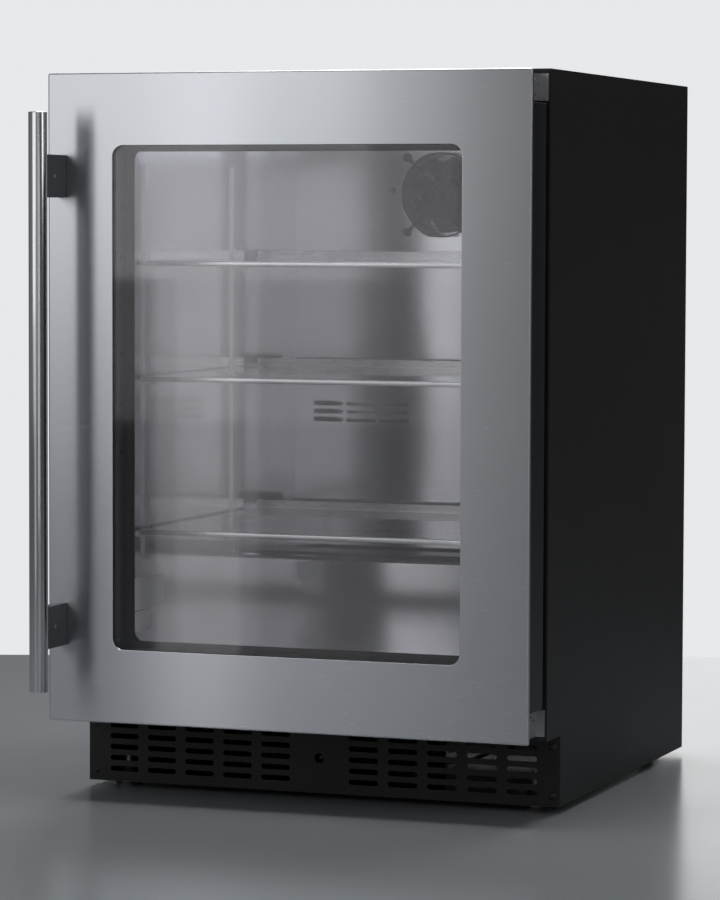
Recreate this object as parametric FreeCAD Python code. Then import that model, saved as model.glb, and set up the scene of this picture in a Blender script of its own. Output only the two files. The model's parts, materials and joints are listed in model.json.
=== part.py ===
import FreeCAD, Part
import math
import os

os.makedirs("parts", exist_ok=True)
V = FreeCAD.Vector

# Undercounter refrigerator with a framed glass door. Millimetres, +Z up.
# The front faces -Y. The origin is the middle of the footprint, on the floor.

# ---- Driving dimensions: cabinet ----
CABINET_WIDTH = 600.0
CABINET_HEIGHT = 864.0
CABINET_DEPTH = 590.0
PANEL_SHEET = 1.2
REAR_FLANGE = 15.0
BACK_PANEL_INSET = 6.8
FLOOR_GAP = 8.0
TOE_HEIGHT = 92.0
TOE_DEPTH = 52.0
GRILLE_SHEET = 1.5
SIDE_WALL = 43.0
TOP_WALL = 45.0
BACK_WALL = 52.0
FLOOR_WALL = 78.0
LINER_SHEET = 1.0
FIT_GAP = 0.2

# ---- Driving dimensions: back louvres and power inlet ----
LOUVRE_LENGTH = 52.0
LOUVRE_HEIGHT = 6.0
LOUVRE_PITCH = 66.0
LOUVRE_ROW_PITCH = 16.0
LOUVRE_ROWS = 7
INLET_RADIUS = 9.0
INLET_SIDE_INSET = 100.0
INLET_Z = 60.0

# ---- Driving dimensions: toe-kick grille and screws ----
KICK_SLOT_LENGTH = 37.0
KICK_SLOT_HEIGHT = 6.3
KICK_SLOT_PITCH = 49.4
KICK_ROW_PITCH = 13.3
KICK_ROWS = 5
KICK_COLUMNS = 5
KICK_FIRST_COLUMN = 56.0
KICK_HOLE_RADIUS = 6.0
KICK_SCREW_INSET = 9.0
SCREW_HEAD = 5.0
SCREW_HEAD_HEIGHT = 2.2
SCREW_SHANK = 2.0
SCREW_LENGTH = 5.0

# ---- Driving dimensions: machine space ----
STEP_DEPTH = 131.0
STEP_HEIGHT = 92.0
STEP_CORNER_RADIUS = 12.0
STEP_INSULATION = 35.0
DIVIDER_SHEET = 1.4

# ---- Driving dimensions: door ----
DOOR_SIDE_INSET = 1.0
DOOR_TOP_INSET = 2.0
DOOR_BOTTOM_ABOVE_TOE = 4.0
DOOR_THICKNESS = 53.0
DOOR_STANDOFF = 14.0
SKIN_SHEET = 1.2
SKIN_RETURN = 4.0
WINDOW_SIDE_BORDER = 83.0
WINDOW_TOP_BORDER = 85.0
WINDOW_BOTTOM_BORDER = 88.0
WINDOW_CORNER_RADIUS = 13.0
JAMB_WALL = 2.6
JAMB_DEPTH = 38.0
JAMB_BOSS_DEPTH = 25.0
JAMB_BOSS_RADIUS = 2.4
JAMB_BOSS_HEIGHT = 1.4
JAMB_BOSS_FIRST = 60.0
JAMB_BOSS_PITCH = 57.5
BEAD_WIDTH = 6.5
BEAD_THICKNESS = 2.0
PANE_THICKNESS = 4.0
PANE_EDGE_COVER = 9.0
RETAINER_WIDTH = 7.0
DOOR_LINER_THICKNESS = 4.0
GASKET_INSET = 26.0
GASKET_WIDTH = 14.0
GASKET_SQUEEZE_GAP = 0.4

# ---- Driving dimensions: handle ----
BAR_DIAMETER = 22.0
BAR_STANDOFF = 66.0
BAR_EDGE_INSET = 18.0
BAR_BOTTOM_ABOVE_DOOR = 42.0
BAR_TOP_BELOW_DOOR = 47.0
BRACKET_THICKNESS = 12.0
BRACKET_HEIGHT = 50.0
BRACKET_END_INSET = 74.0
SET_SCREW_RADIUS = 2.5
SET_SCREW_LENGTH = 5.0

# ---- Driving dimensions: hinge ----
HINGE_AXIS_INSET = 20.0
HINGE_TOP_NOTCH = 38.0
HINGE_BOTTOM_NOTCH = 36.0
HINGE_NOTCH_REACH = 12.0
HINGE_PLATE_HEIGHT = 31.0
HINGE_SHEET = 3.0
HINGE_LEAF_RADIUS = 8.0
HINGE_LEAF_OFFSET = 17.0
HINGE_HOLE_RADIUS = 2.2
HINGE_PIN_RADIUS = 4.0
HINGE_PIN_ENGAGE = 18.0
HINGE_RUNNING_GAP = 0.06
BUSH_WALL = 3.0

# ---- Driving dimensions: shelves ----
SHELF_NAMES = ("lower", "middle", "upper")
LOWER_SHELF_ABOVE_STEP = 51.0
UPPER_SHELF_BELOW_CEILING = 178.75
MIDDLE_SHELF_ABOVE_MEAN = 23.375
SHELF_GLASS = 5.0
SHELF_WALL_GAP = 10.0
SHELF_FRONT_SETBACK = 83.0
SHELF_BACK_GAP = 27.0
TRIM_HEIGHT = 6.6
TRIM_DEPTH = 9.0
TRIM_WALL = 1.0
REAR_UPSTAND = 10.0
PILASTER_THICKNESS = 3.0
PILASTER_WIDTH = 16.0
CLIP_HEIGHT = 6.0
CLIP_WIDTH = 12.0
CLIP_UNDER_SHELF = 5.0

# ---- Driving dimensions: cold air parts ----
COVER_SIDE_GAP = 53.0
COVER_STANDOFF = 43.0
COVER_END_GAP = 3.0
FAN_BELOW_CEILING = 95.0
FAN_OPENING_RADIUS = 57.5
FAN_OPENING_FLAT = 54.5
EVAPORATOR_FAN_RADIUS = 50.0
GUARD_WIRE = 1.1
GUARD_EAR_OFFSET = 48.5
AIR_SLOT_HEIGHT = 6.0
AIR_SLOT_LENGTH = 41.0
AIR_SLOT_PITCH = 46.0
AIR_SLOT_ROW_PITCH = 10.5
AIR_SLOT_HEIGHT_ABOVE_FLOOR = 260.0
AIR_SLOT_FIRST_COLUMN = 66.0
COVER_SCREW_SHANK = 1.6
GUARD_SCREW_SHANK = 1.2

# ---- Driving dimensions: control box, thermostat knob and light ----
CONTROL_X0 = -200.0
CONTROL_X1 = -70.0
CONTROL_SETBACK = 33.0
CONTROL_DEPTH = 95.0
CONTROL_HEIGHT = 30.0
KNOB_RADIUS = 12.0
KNOB_DEPTH = 13.0
KNOB_SHAFT_RADIUS = 3.0
ROCKER_HALF_W = 10.0
ROCKER_HALF_H = 6.0
ROCKER_TILT = 7.0
PIVOT_RADIUS = 1.5
PIVOT_ENGAGE = 2.0

# ---- Driving dimensions: condensing unit and feet ----
COMPRESSOR_RADIUS = 60.0
COMPRESSOR_HEIGHT = 150.0
CONDENSER_WIDTH = 260.0
CONDENSER_FAN_RADIUS = 36.0
FAN_SHAFT_RADIUS = 2.5
BLADE_PITCH = 24.0
SHAFT_RUNNING_GAP = 0.08
FOOT_STUD_RADIUS = 5.0
FOOT_PAD_RADIUS = 18.0
FOOT_INSET = 38.0
FOOT_TRAVEL = 20.0
NUT_HEIGHT = 14.0

# ---- Places worked out from the driving dimensions ----
HALF_W = CABINET_WIDTH / 2
HANDLE_REACH = BAR_STANDOFF + BAR_DIAMETER / 2
TOTAL_DEPTH = HANDLE_REACH + DOOR_THICKNESS + DOOR_STANDOFF + CABINET_DEPTH
DOOR_FRONT = -TOTAL_DEPTH / 2 + HANDLE_REACH
DOOR_BACK = DOOR_FRONT + DOOR_THICKNESS
FACE = DOOR_BACK + DOOR_STANDOFF
REAR = FACE + CABINET_DEPTH
INNER_HALF_W = HALF_W - PANEL_SHEET - FIT_GAP
FRAME_BACK = FACE + PANEL_SHEET
BACK_SHEET_FRONT = REAR - BACK_PANEL_INSET - PANEL_SHEET
ROOF_UNDER = CABINET_HEIGHT - PANEL_SHEET
GRILLE_FACE = FACE + TOE_DEPTH
PAN_TOP = FLOOR_GAP + GRILLE_SHEET

ROOM_HALF_W = HALF_W - SIDE_WALL
ROOM_BACK = REAR - BACK_WALL
ROOM_FLOOR = TOE_HEIGHT + FLOOR_WALL
ROOM_CEILING = CABINET_HEIGHT - TOP_WALL
STEP_FRONT = ROOM_BACK - STEP_DEPTH
STEP_TOP = ROOM_FLOOR + STEP_HEIGHT
BULKHEAD = STEP_FRONT + STEP_INSULATION
MACHINE_TOP = STEP_TOP - LINER_SHEET - STEP_INSULATION

DOOR_HALF_W = HALF_W - DOOR_SIDE_INSET
DOOR_BOTTOM = TOE_HEIGHT + DOOR_BOTTOM_ABOVE_TOE
DOOR_TOP = CABINET_HEIGHT - DOOR_TOP_INSET
WINDOW_HALF_W = DOOR_HALF_W - WINDOW_SIDE_BORDER
WINDOW_TOP = DOOR_TOP - WINDOW_TOP_BORDER
WINDOW_BOTTOM = DOOR_BOTTOM + WINDOW_BOTTOM_BORDER
OUTER_PANE_FRONT = DOOR_FRONT + SKIN_SHEET
OUTER_PANE_BACK = OUTER_PANE_FRONT + PANE_THICKNESS
JAMB_BACK = DOOR_FRONT + JAMB_DEPTH
INNER_PANE_FRONT = JAMB_BACK + BEAD_THICKNESS
INNER_PANE_BACK = INNER_PANE_FRONT + PANE_THICKNESS
JAMB_BOSS_COUNT = int((WINDOW_TOP - WINDOW_BOTTOM - 2 * JAMB_BOSS_FIRST) / JAMB_BOSS_PITCH) + 1

HINGE_X = DOOR_HALF_W - HINGE_AXIS_INSET
HINGE_Y = DOOR_FRONT + HINGE_AXIS_INSET
HANDLE_X = -(DOOR_HALF_W - BAR_EDGE_INSET)
HANDLE_Y = DOOR_FRONT - BAR_STANDOFF
BAR_BOTTOM = DOOR_BOTTOM + BAR_BOTTOM_ABOVE_DOOR
BAR_TOP = DOOR_TOP - BAR_TOP_BELOW_DOOR

COVER_HALF_W = ROOM_HALF_W - COVER_SIDE_GAP
COVER_FRONT = ROOM_BACK - COVER_STANDOFF
FAN_HEIGHT = ROOM_CEILING - FAN_BELOW_CEILING
COVER_SCREW = (-69.0, FAN_HEIGHT + 6, COVER_SCREW_SHANK)
LOWER_SHELF = STEP_TOP + LOWER_SHELF_ABOVE_STEP
UPPER_SHELF = ROOM_CEILING - UPPER_SHELF_BELOW_CEILING
MIDDLE_SHELF = (LOWER_SHELF + UPPER_SHELF) / 2 + MIDDLE_SHELF_ABOVE_MEAN
SHELF_TOPS = (LOWER_SHELF, MIDDLE_SHELF, UPPER_SHELF)
CONTROL_FRONT = FACE + CONTROL_SETBACK
INLET_X = HALF_W - INLET_SIDE_INSET
KICK_MIDDLE_Z = (FLOOR_GAP + TOE_HEIGHT) / 2
HEX_ANGLES = [math.radians(60 * i) for i in range(6)]
FOOT_X = HALF_W - FOOT_INSET
FOOT_FRONT_Y = GRILLE_FACE + 32.0
FOOT_REAR_Y = REAR - FOOT_INSET


def block(x0, x1, y0, y1, z0, z1):
    """A box between two values on each axis."""
    return Part.makeBox(x1 - x0, y1 - y0, z1 - z0, V(x0, y0, z0))


def rod(radius, start, end):
    """A round rod from one point to another."""
    axis = V(*end) - V(*start)
    return Part.makeCylinder(radius, axis.Length, V(*start), axis)


def along(shape, direction):
    """The shape's straight edges that run along one direction."""
    wanted = V(*direction)
    edges = []
    for edge in shape.Edges:
        if isinstance(edge.Curve, Part.Line) and abs(edge.Curve.Direction.dot(wanted)) > 0.999:
            edges.append(edge)
    return edges


def along_circle(shape):
    """The circular edges of a shape."""
    return [edge for edge in shape.Edges if isinstance(edge.Curve, Part.Circle)]


def rounded(shape, radius, direction):
    """The shape with its edges along one direction rounded."""
    return shape.makeFillet(radius, along(shape, direction))


def pane(half_w, z0, z1, y0, y1, radius=0.0):
    """An upright slab centred on X, with rounded corners when a radius is given."""
    slab = block(-half_w, half_w, y0, y1, z0, z1)
    return rounded(slab, radius, (0, 1, 0)) if radius else slab


def ring(outer_half_w, z0, z1, width, y0, y1, radius=0.0, inner_radius=0.0):
    """An upright rectangular ring of even width, centred on X."""
    outer = pane(outer_half_w, z0, z1, y0, y1, radius)
    inner = pane(outer_half_w - width, z0 + width, z1 - width, y0 - 1, y1 + 1, inner_radius)
    return outer.cut(inner)


def slot(x0, x1, z, height, y0, y1):
    """A slot with round ends, cut along Y."""
    r = height / 2
    bar = block(x0 + r, x1 - r, y0, y1, z - r, z + r)
    return bar.fuse([rod(r, (x, y0, z), (x, y1, z)) for x in (x0 + r, x1 - r)])


def pan_head(x, y, z, head_radius, head_height, shank_radius, shank_length):
    """A truss-head screw with a cross recess, its head facing -Y and its seat at y."""
    dome = Part.makeSphere(head_radius * 1.25, V(x, y + head_radius * 1.25 - head_height, z))
    head = rod(head_radius, (x, y - head_height, z), (x, y, z)).common(dome)
    shank = rod(shank_radius, (x, y - 0.1, z), (x, y + shank_length, z))
    arm = head_radius * 0.55
    recess_y = y - head_height
    cross_a = block(x - arm, x + arm, recess_y - 1, recess_y + 0.9, z - 0.5, z + 0.5)
    cross_b = block(x - 0.5, x + 0.5, recess_y - 1, recess_y + 0.9, z - arm, z + arm)
    return head.fuse(shank).cut([cross_a, cross_b])


def pipe(points, radius, bend):
    """A round tube outline along straight runs joined by tangent arcs of one radius."""
    corners = [V(*p) for p in points]
    edges = []
    start = corners[0]
    for before, corner, after in zip(corners, corners[1:], corners[2:]):
        into = (corner - before).normalize()
        out = (after - corner).normalize()
        turn = into.getAngle(out)
        cut_back = bend * math.tan(turn / 2)
        first = corner - into * cut_back
        last = corner + out * cut_back
        towards_centre = (out - into).normalize()
        centre = corner + towards_centre * (bend / math.cos(turn / 2))
        middle = centre - towards_centre * bend
        edges.append(Part.LineSegment(start, first).toShape())
        edges.append(Part.Arc(first, middle, last).toShape())
        start = last
    edges.append(Part.LineSegment(start, corners[-1]).toShape())
    direction = (corners[1] - corners[0]).normalize()
    profile = Part.Wire([Part.Circle(corners[0], direction, radius).toShape()])
    return Part.Wire(edges).makePipeShell([profile], True, True)


def save(node, shape):
    """Write one sub-part."""
    shape.exportStep(f"parts/{node}.step")


def group(solids):
    """Separate solids kept in one node."""
    return Part.makeCompound(solids)


# ---- Cabinet shell ----
def side_panel(side):
    """Flat steel side with the toe notch and a return flange at the rear edge."""
    outer = side * HALF_W
    inner = side * (HALF_W - PANEL_SHEET)
    flange_end = side * (HALF_W - REAR_FLANGE)
    sheet = block(min(outer, inner), max(outer, inner), FACE, REAR, FLOOR_GAP, CABINET_HEIGHT)
    notch_back = GRILLE_FACE + GRILLE_SHEET + FIT_GAP
    notch = block(-HALF_W - 1, HALF_W + 1, FACE - 1, notch_back, 0, TOE_HEIGHT)
    low, high = min(inner, flange_end), max(inner, flange_end)
    flange = block(low, high, REAR - PANEL_SHEET, REAR, FLOOR_GAP, ROOF_UNDER - FIT_GAP)
    return sheet.cut(notch).fuse(flange).removeSplitter()


def cabinet_shell():
    """The outer sheets of the cabinet."""
    save("side_panel_left", side_panel(-1))
    save("side_panel_right", side_panel(1))
    save("top_panel", block(-INNER_HALF_W, INNER_HALF_W, FACE, REAR, ROOF_UNDER, CABINET_HEIGHT))
    frame = block(-INNER_HALF_W, INNER_HALF_W, FACE, FRAME_BACK, TOE_HEIGHT, ROOF_UNDER - FIT_GAP)
    room = block(-ROOM_HALF_W, ROOM_HALF_W, FACE - 1, FRAME_BACK + 1, ROOM_FLOOR, ROOM_CEILING)
    save("front_frame", frame.cut(room))
    save("back_panel", back_panel())
    save("base_pan", base_pan())


def back_panel():
    """Inset back sheet with a band of louvre slots over the machine space."""
    y0, y1 = BACK_SHEET_FRONT, BACK_SHEET_FRONT + PANEL_SHEET
    sheet = block(-INNER_HALF_W, INNER_HALF_W, y0, y1, FLOOR_GAP, ROOF_UNDER - FIT_GAP)
    slots = []
    half = LOUVRE_LENGTH / 2
    for row in range(LOUVRE_ROWS):
        for column in range(-3, 3):
            x = (column + 0.5) * LOUVRE_PITCH
            z = MACHINE_TOP - 24 - row * LOUVRE_ROW_PITCH
            slots.append(slot(x - half, x + half, z, LOUVRE_HEIGHT, y0 - 1, y1 + 1))
    inlet_hole = rod(INLET_RADIUS + FIT_GAP, (INLET_X, y0 - 1, INLET_Z), (INLET_X, y1 + 1, INLET_Z))
    return sheet.cut(slots + [inlet_hole])


def base_pan():
    """Bottom sheet with side lips and a welded nut over each foot hole."""
    y0 = GRILLE_FACE + GRILLE_SHEET + FIT_GAP + 1
    y1 = BACK_SHEET_FRONT - FIT_GAP
    pan = block(-INNER_HALF_W, INNER_HALF_W, y0, y1, FLOOR_GAP, PAN_TOP)
    lip_top = PAN_TOP + 12
    lip_places = (-INNER_HALF_W, INNER_HALF_W - GRILLE_SHEET)
    lips = [block(x, x + GRILLE_SHEET, y0, y1, FLOOR_GAP, lip_top) for x in lip_places]
    nuts = []
    holes = []
    for x, y in foot_places():
        nuts.append(rod(FOOT_STUD_RADIUS + 6, (x, y, PAN_TOP), (x, y, PAN_TOP + NUT_HEIGHT)))
        bore = FOOT_STUD_RADIUS + SHAFT_RUNNING_GAP
        holes.append(rod(bore, (x, y, 0), (x, y, PAN_TOP + NUT_HEIGHT + 1)))
    return pan.fuse(lips + nuts).cut(holes).removeSplitter()


def foot_places():
    """The four foot centres: front left, front right, rear left, rear right."""
    return [(x, y) for y in (FOOT_FRONT_Y, FOOT_REAR_Y) for x in (-FOOT_X, FOOT_X)]


def feet():
    """Levelling feet: a hexagon and round pad under a threaded stud."""
    names = ("front_left", "front_right", "rear_left", "rear_right")
    pad_height = 3.2
    hex_height = FLOOR_GAP - pad_height - 0.8
    stud_top = PAN_TOP + NUT_HEIGHT + FOOT_TRAVEL - 8
    for name, (x, y) in zip(names, foot_places()):
        pad = Part.makeCone(FOOT_PAD_RADIUS, FOOT_PAD_RADIUS - 2, pad_height, V(x, y, 0))
        corners = [V(x + 9 * math.cos(a), y + 9 * math.sin(a), pad_height) for a in HEX_ANGLES]
        hexagon = Part.Face(Part.makePolygon(corners + corners[:1])).extrude(V(0, 0, hex_height))
        stud = rod(FOOT_STUD_RADIUS, (x, y, 1), (x, y, stud_top))
        save(f"leveling_foot_{name}", pad.fuse([hexagon, stud]).removeSplitter())


# ---- Toe-kick grille ----
def toe_grille():
    """Slotted kick plate in two fields, with a round access hole between them."""
    y0, y1 = GRILLE_FACE, GRILLE_FACE + GRILLE_SHEET
    plate = block(-HALF_W, HALF_W, y0, y1, FLOOR_GAP, TOE_HEIGHT - FIT_GAP)
    top = TOE_HEIGHT - FIT_GAP
    middle_z = KICK_MIDDLE_Z
    cuts = [rod(KICK_HOLE_RADIUS, (0, y0 - 1, middle_z), (0, y1 + 1, middle_z))]
    half = KICK_SLOT_LENGTH / 2
    for side in (-1, 1):
        for column in range(KICK_COLUMNS):
            x = side * (KICK_FIRST_COLUMN + column * KICK_SLOT_PITCH)
            for row in range(KICK_ROWS):
                z = middle_z + (row - (KICK_ROWS - 1) / 2) * KICK_ROW_PITCH
                cuts.append(slot(x - half, x + half, z, KICK_SLOT_HEIGHT, y0 - 1, y1 + 1))
    lip = block(-HALF_W + 6, HALF_W - 6, y1, y1 + 8, top - GRILLE_SHEET, top)
    for x, z in grille_screw_places():
        cuts.append(rod(SCREW_SHANK + FIT_GAP, (x, y0 - 1, z), (x, y1 + 1, z)))
    save("toe_kick_grille", plate.fuse(lip).cut(cuts).removeSplitter())
    brackets = []
    for side in (-1, 1):
        x0 = side * (HALF_W - 6)
        x1 = side * (HALF_W - 24)
        low, high = min(x0, x1), max(x0, x1)
        tab = block(low, high, y1 + FIT_GAP, y1 + FIT_GAP + 1.5, PAN_TOP, TOE_HEIGHT - 6)
        radius = SCREW_SHANK + FIT_GAP
        holes = [rod(radius, (sx, y1, sz), (sx, y1 + 5, sz)) for sx, sz in grille_screw_places()]
        brackets.append(tab.cut(holes))
    save("grille_brackets", group(brackets))


def grille_screw_places():
    """The corner screws of the toe-kick grille, as X and Z."""
    x = HALF_W - KICK_SCREW_INSET
    return [(side * x, z) for side in (-1, 1) for z in (FLOOR_GAP + 13, TOE_HEIGHT - 13)]


# ---- Insulation, liner and machine space divider ----
def liner_and_foam():
    """Liner sheets around the cold room, the foam between shells, and the divider plates."""
    t = LINER_SHEET
    x, xo = ROOM_HALF_W, ROOM_HALF_W + t
    under_step = block(-xo - 1, xo + 1, STEP_FRONT + t, REAR, 0, STEP_TOP - t)
    for name, side in (("left", -1), ("right", 1)):
        x0, x1 = min(side * x, side * xo), max(side * x, side * xo)
        sheet = block(x0, x1, FRAME_BACK, ROOM_BACK + t, ROOM_FLOOR - t, ROOM_CEILING + t)
        save(f"liner_{name}", sheet.cut(under_step))
    save("liner_back", block(-x, x, ROOM_BACK, ROOM_BACK + t, STEP_TOP, ROOM_CEILING))
    save("liner_ceiling", block(-x, x, FRAME_BACK, ROOM_BACK + t, ROOM_CEILING, ROOM_CEILING + t))
    save("liner_floor", block(-x, x, FRAME_BACK, STEP_FRONT, ROOM_FLOOR - t, ROOM_FLOOR))
    outside = block(-x, x, STEP_FRONT, ROOM_BACK, ROOM_FLOOR - t, STEP_TOP)
    inside = block(-x - 1, x + 1, STEP_FRONT + t, ROOM_BACK + 1, ROOM_FLOOR - 2 * t, STEP_TOP - t)
    save("compressor_step", rounded_step(outside, inside))
    deck_top = TOE_HEIGHT + FIT_GAP + DIVIDER_SHEET
    foam = block(-INNER_HALF_W, INNER_HALF_W, FRAME_BACK, BACK_SHEET_FRONT, deck_top, ROOF_UNDER)
    g = 0.05
    room = block(-xo - g, xo + g, FACE, ROOM_BACK + t + g, ROOM_FLOOR - t - g, ROOM_CEILING + t + g)
    step_foam = rounded(
        block(-xo - 1, xo + 1, STEP_FRONT + t + g, ROOM_BACK + 9, ROOM_FLOOR - 9, STEP_TOP - t - g),
        STEP_CORNER_RADIUS - t,
        (1, 0, 0),
    )
    machine = block(-HALF_W, HALF_W, BULKHEAD, REAR, 0, MACHINE_TOP)
    save("foam_insulation", foam.cut(room.cut(step_foam)).cut(machine))
    save("machine_divider", machine_divider(deck_top))


def rounded_step(outside, inside):
    """The step sheet with its upper front corner rounded inside and out."""
    def front_top(shape, radius, y, z):
        edges = [
            e for e in along(shape, (1, 0, 0))
            if abs(e.CenterOfMass.y - y) < 0.01 and abs(e.CenterOfMass.z - z) < 0.01
        ]
        return shape.makeFillet(radius, edges)

    t = LINER_SHEET
    outer = front_top(outside, STEP_CORNER_RADIUS, STEP_FRONT, STEP_TOP)
    inner = front_top(inside, STEP_CORNER_RADIUS - t, STEP_FRONT + t, STEP_TOP - t)
    return outer.cut(inner)


def machine_divider(deck_top):
    """Three plates that close the machine space: deck, bulkhead and ceiling."""
    w = INNER_HALF_W
    bottom = deck_top - DIVIDER_SHEET
    deck = block(-w, w, FRAME_BACK, BULKHEAD, bottom, deck_top)
    bulkhead = block(-w, w, BULKHEAD, BULKHEAD + DIVIDER_SHEET, bottom, MACHINE_TOP)
    under = MACHINE_TOP - DIVIDER_SHEET
    ceiling = block(-w, w, BULKHEAD + DIVIDER_SHEET, BACK_SHEET_FRONT, under, MACHINE_TOP)
    return group([deck, bulkhead, ceiling])


# ---- Cold air parts ----
def cold_air_parts():
    """Evaporator cover with its fan opening and air slots, guard, coil, motor and rotor."""
    w = COVER_HALF_W
    t = PANEL_SHEET
    z0, z1 = STEP_TOP + COVER_END_GAP, ROOM_CEILING - COVER_END_GAP
    front = block(-w, w, COVER_FRONT, COVER_FRONT + t, z0, z1)
    returns = [block(x, x + t, COVER_FRONT, ROOM_BACK, z0, z1) for x in (-w, w - t)]
    y0, y1 = COVER_FRONT - 1, COVER_FRONT + t + 1
    disc = rod(FAN_OPENING_RADIUS, (0, y0, FAN_HEIGHT), (0, y1, FAN_HEIGHT))
    flat = FAN_OPENING_FLAT
    square = block(-flat, flat, y0 - 1, y1 + 1, FAN_HEIGHT - flat, FAN_HEIGHT + flat)
    cuts = [disc.common(square)]
    for side in (-1, 1):
        for column in range(3):
            x = side * (AIR_SLOT_FIRST_COLUMN + column * AIR_SLOT_PITCH)
            for row in range(3):
                z = ROOM_FLOOR + AIR_SLOT_HEIGHT_ABOVE_FLOOR + row * AIR_SLOT_ROW_PITCH
                x0, x1 = x - AIR_SLOT_LENGTH / 2, x + AIR_SLOT_LENGTH / 2
                cuts.append(slot(x0, x1, z, AIR_SLOT_HEIGHT, y0, y1))
    for x, z, radius in [COVER_SCREW] + guard_screws():
        cuts.append(rod(radius + FIT_GAP, (x, y0, z), (x, y1, z)))
    save("evaporator_cover", front.fuse(returns).cut(cuts).removeSplitter())
    save("fan_guard", fan_guard())
    coil_top = FAN_HEIGHT - EVAPORATOR_FAN_RADIUS - 30
    coil = finned_coil(150.0, COVER_FRONT + 10, ROOM_BACK - 3, coil_top - 170, coil_top, 18)
    save("evaporator_coil", coil)
    motor_front = COVER_FRONT + 22
    motor = rod(22.0, (0, motor_front, FAN_HEIGHT), (0, ROOM_BACK, FAN_HEIGHT))
    shaft = rod(FAN_SHAFT_RADIUS, (0, COVER_FRONT + 10, FAN_HEIGHT), (0, motor_front + 1, FAN_HEIGHT))
    save("evaporator_fan_motor", motor.fuse(shaft))
    rotor = fan_rotor(COVER_FRONT + 8, 12.0, EVAPORATOR_FAN_RADIUS, 16.0, FAN_HEIGHT, 7)
    save("evaporator_fan_rotor", rotor)


def guard_screws():
    """The guard's corner screws: X, Z and shank radius."""
    offset = GUARD_EAR_OFFSET
    corners = [(x, z) for x in (-1, 1) for z in (-1, 1)]
    return [(x * offset, FAN_HEIGHT + z * offset, GUARD_SCREW_SHANK) for x, z in corners]


def fan_guard():
    """Wire guard: round rings on crossing spokes, with an eyelet at each corner."""
    ring_y = COVER_FRONT - 5.0
    spoke_y = ring_y + 1.6 * GUARD_WIRE
    parts = []
    for radius in (15.0, 28.0, 41.0, 54.0):
        parts.append(Part.makeTorus(radius, GUARD_WIRE, V(0, ring_y, FAN_HEIGHT), V(0, 1, 0)))
    for turn in (45, 135):
        c, s = math.cos(math.radians(turn)), math.sin(math.radians(turn))
        reach = GUARD_EAR_OFFSET * math.sqrt(2) - 4.0
        start = (-reach * c, spoke_y, FAN_HEIGHT - reach * s)
        end = (reach * c, spoke_y, FAN_HEIGHT + reach * s)
        parts.append(rod(GUARD_WIRE, start, end))
    for x, z, _ in guard_screws():
        parts.append(Part.makeTorus(4.2, GUARD_WIRE, V(x, spoke_y, z), V(0, 1, 0)))
    return parts[0].fuse(parts[1:])


def fan_rotor(front_y, depth, tip_radius, hub_radius, z, blades):
    """Axial rotor: a closed hub with flat pitched blades, bored from behind for its shaft."""
    hub = rod(hub_radius, (0, front_y, z), (0, front_y + depth, z))
    shapes = []
    for i in range(blades):
        span = tip_radius - hub_radius + 2
        blade = block(-hub_radius * 0.8, hub_radius * 0.8, -0.8, 0.8, 0, span)
        blade.rotate(V(0, 0, 0), V(0, 0, 1), BLADE_PITCH)
        blade.translate(V(0, front_y + depth / 2, z + hub_radius - 2))
        blade.rotate(V(0, 0, z), V(0, 1, 0), 360 / blades * i)
        shapes.append(blade)
    limit = rod(tip_radius, (0, front_y, z), (0, front_y + depth, z))
    bore_radius = FAN_SHAFT_RADIUS + SHAFT_RUNNING_GAP
    bore = rod(bore_radius, (0, front_y + 1.8, z), (0, front_y + depth + 1, z))
    return hub.fuse(shapes).common(limit).cut(bore)


def finned_coil(half_w, y0, y1, z0, z1, fins):
    """Upright fins on level tubes with end plates, as one brazed piece."""
    pitch = 2 * half_w / (fins - 1)
    places = [-half_w + i * pitch for i in range(fins)]
    plates = [block(x - 0.4, x + 0.4, y0, y1, z0, z1) for x in places]
    tube_radius = 4.0
    rows = max(2, int((z1 - z0) / 30))
    y = (y0 + y1) / 2
    tubes = []
    for row in range(rows):
        z = z0 + (row + 0.5) * (z1 - z0) / rows
        tubes.append(rod(tube_radius, (-half_w - 6, y, z), (half_w + 6, y, z)))
    return plates[0].fuse(plates[1:] + tubes)


# ---- Shelves and supports ----
def shelves():
    """Glass shelves with front and rear trims, on clips held by four pilasters."""
    half_w = ROOM_HALF_W - SHELF_WALL_GAP
    y0 = FACE + SHELF_FRONT_SETBACK
    y1 = COVER_FRONT - SHELF_BACK_GAP
    trims = []
    clips = []
    pilaster_y = (y0 + 40.0, y1 - 60.0)
    reach = SHELF_WALL_GAP + CLIP_UNDER_SHELF
    for name, top in zip(SHELF_NAMES, SHELF_TOPS):
        bottom = top - SHELF_GLASS
        save(f"shelf_{name}", block(-half_w, half_w, y0, y1, bottom, top))
        trims.append(edge_trim(half_w, y0, 1, top, 0.0))
        trims.append(edge_trim(half_w, y1, -1, top, REAR_UPSTAND))
        for y in pilaster_y:
            for side in (-1, 1):
                x0 = side * (ROOM_HALF_W - PILASTER_THICKNESS)
                x1 = side * (ROOM_HALF_W - reach)
                low, high = min(x0, x1), max(x0, x1)
                half = CLIP_WIDTH / 2
                clips.append(block(low, high, y - half, y + half, bottom - CLIP_HEIGHT, bottom))
    pilasters = []
    for y in pilaster_y:
        for side in (-1, 1):
            x0 = side * ROOM_HALF_W
            x1 = side * (ROOM_HALF_W - PILASTER_THICKNESS)
            z0, z1 = STEP_TOP + 12, ROOM_CEILING - 60
            half = PILASTER_WIDTH / 2
            pilasters.append(block(min(x0, x1), max(x0, x1), y - half, y + half, z0, z1))
    save("shelf_trims", group(trims))
    save("shelf_supports", group(pilasters + clips))


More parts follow.
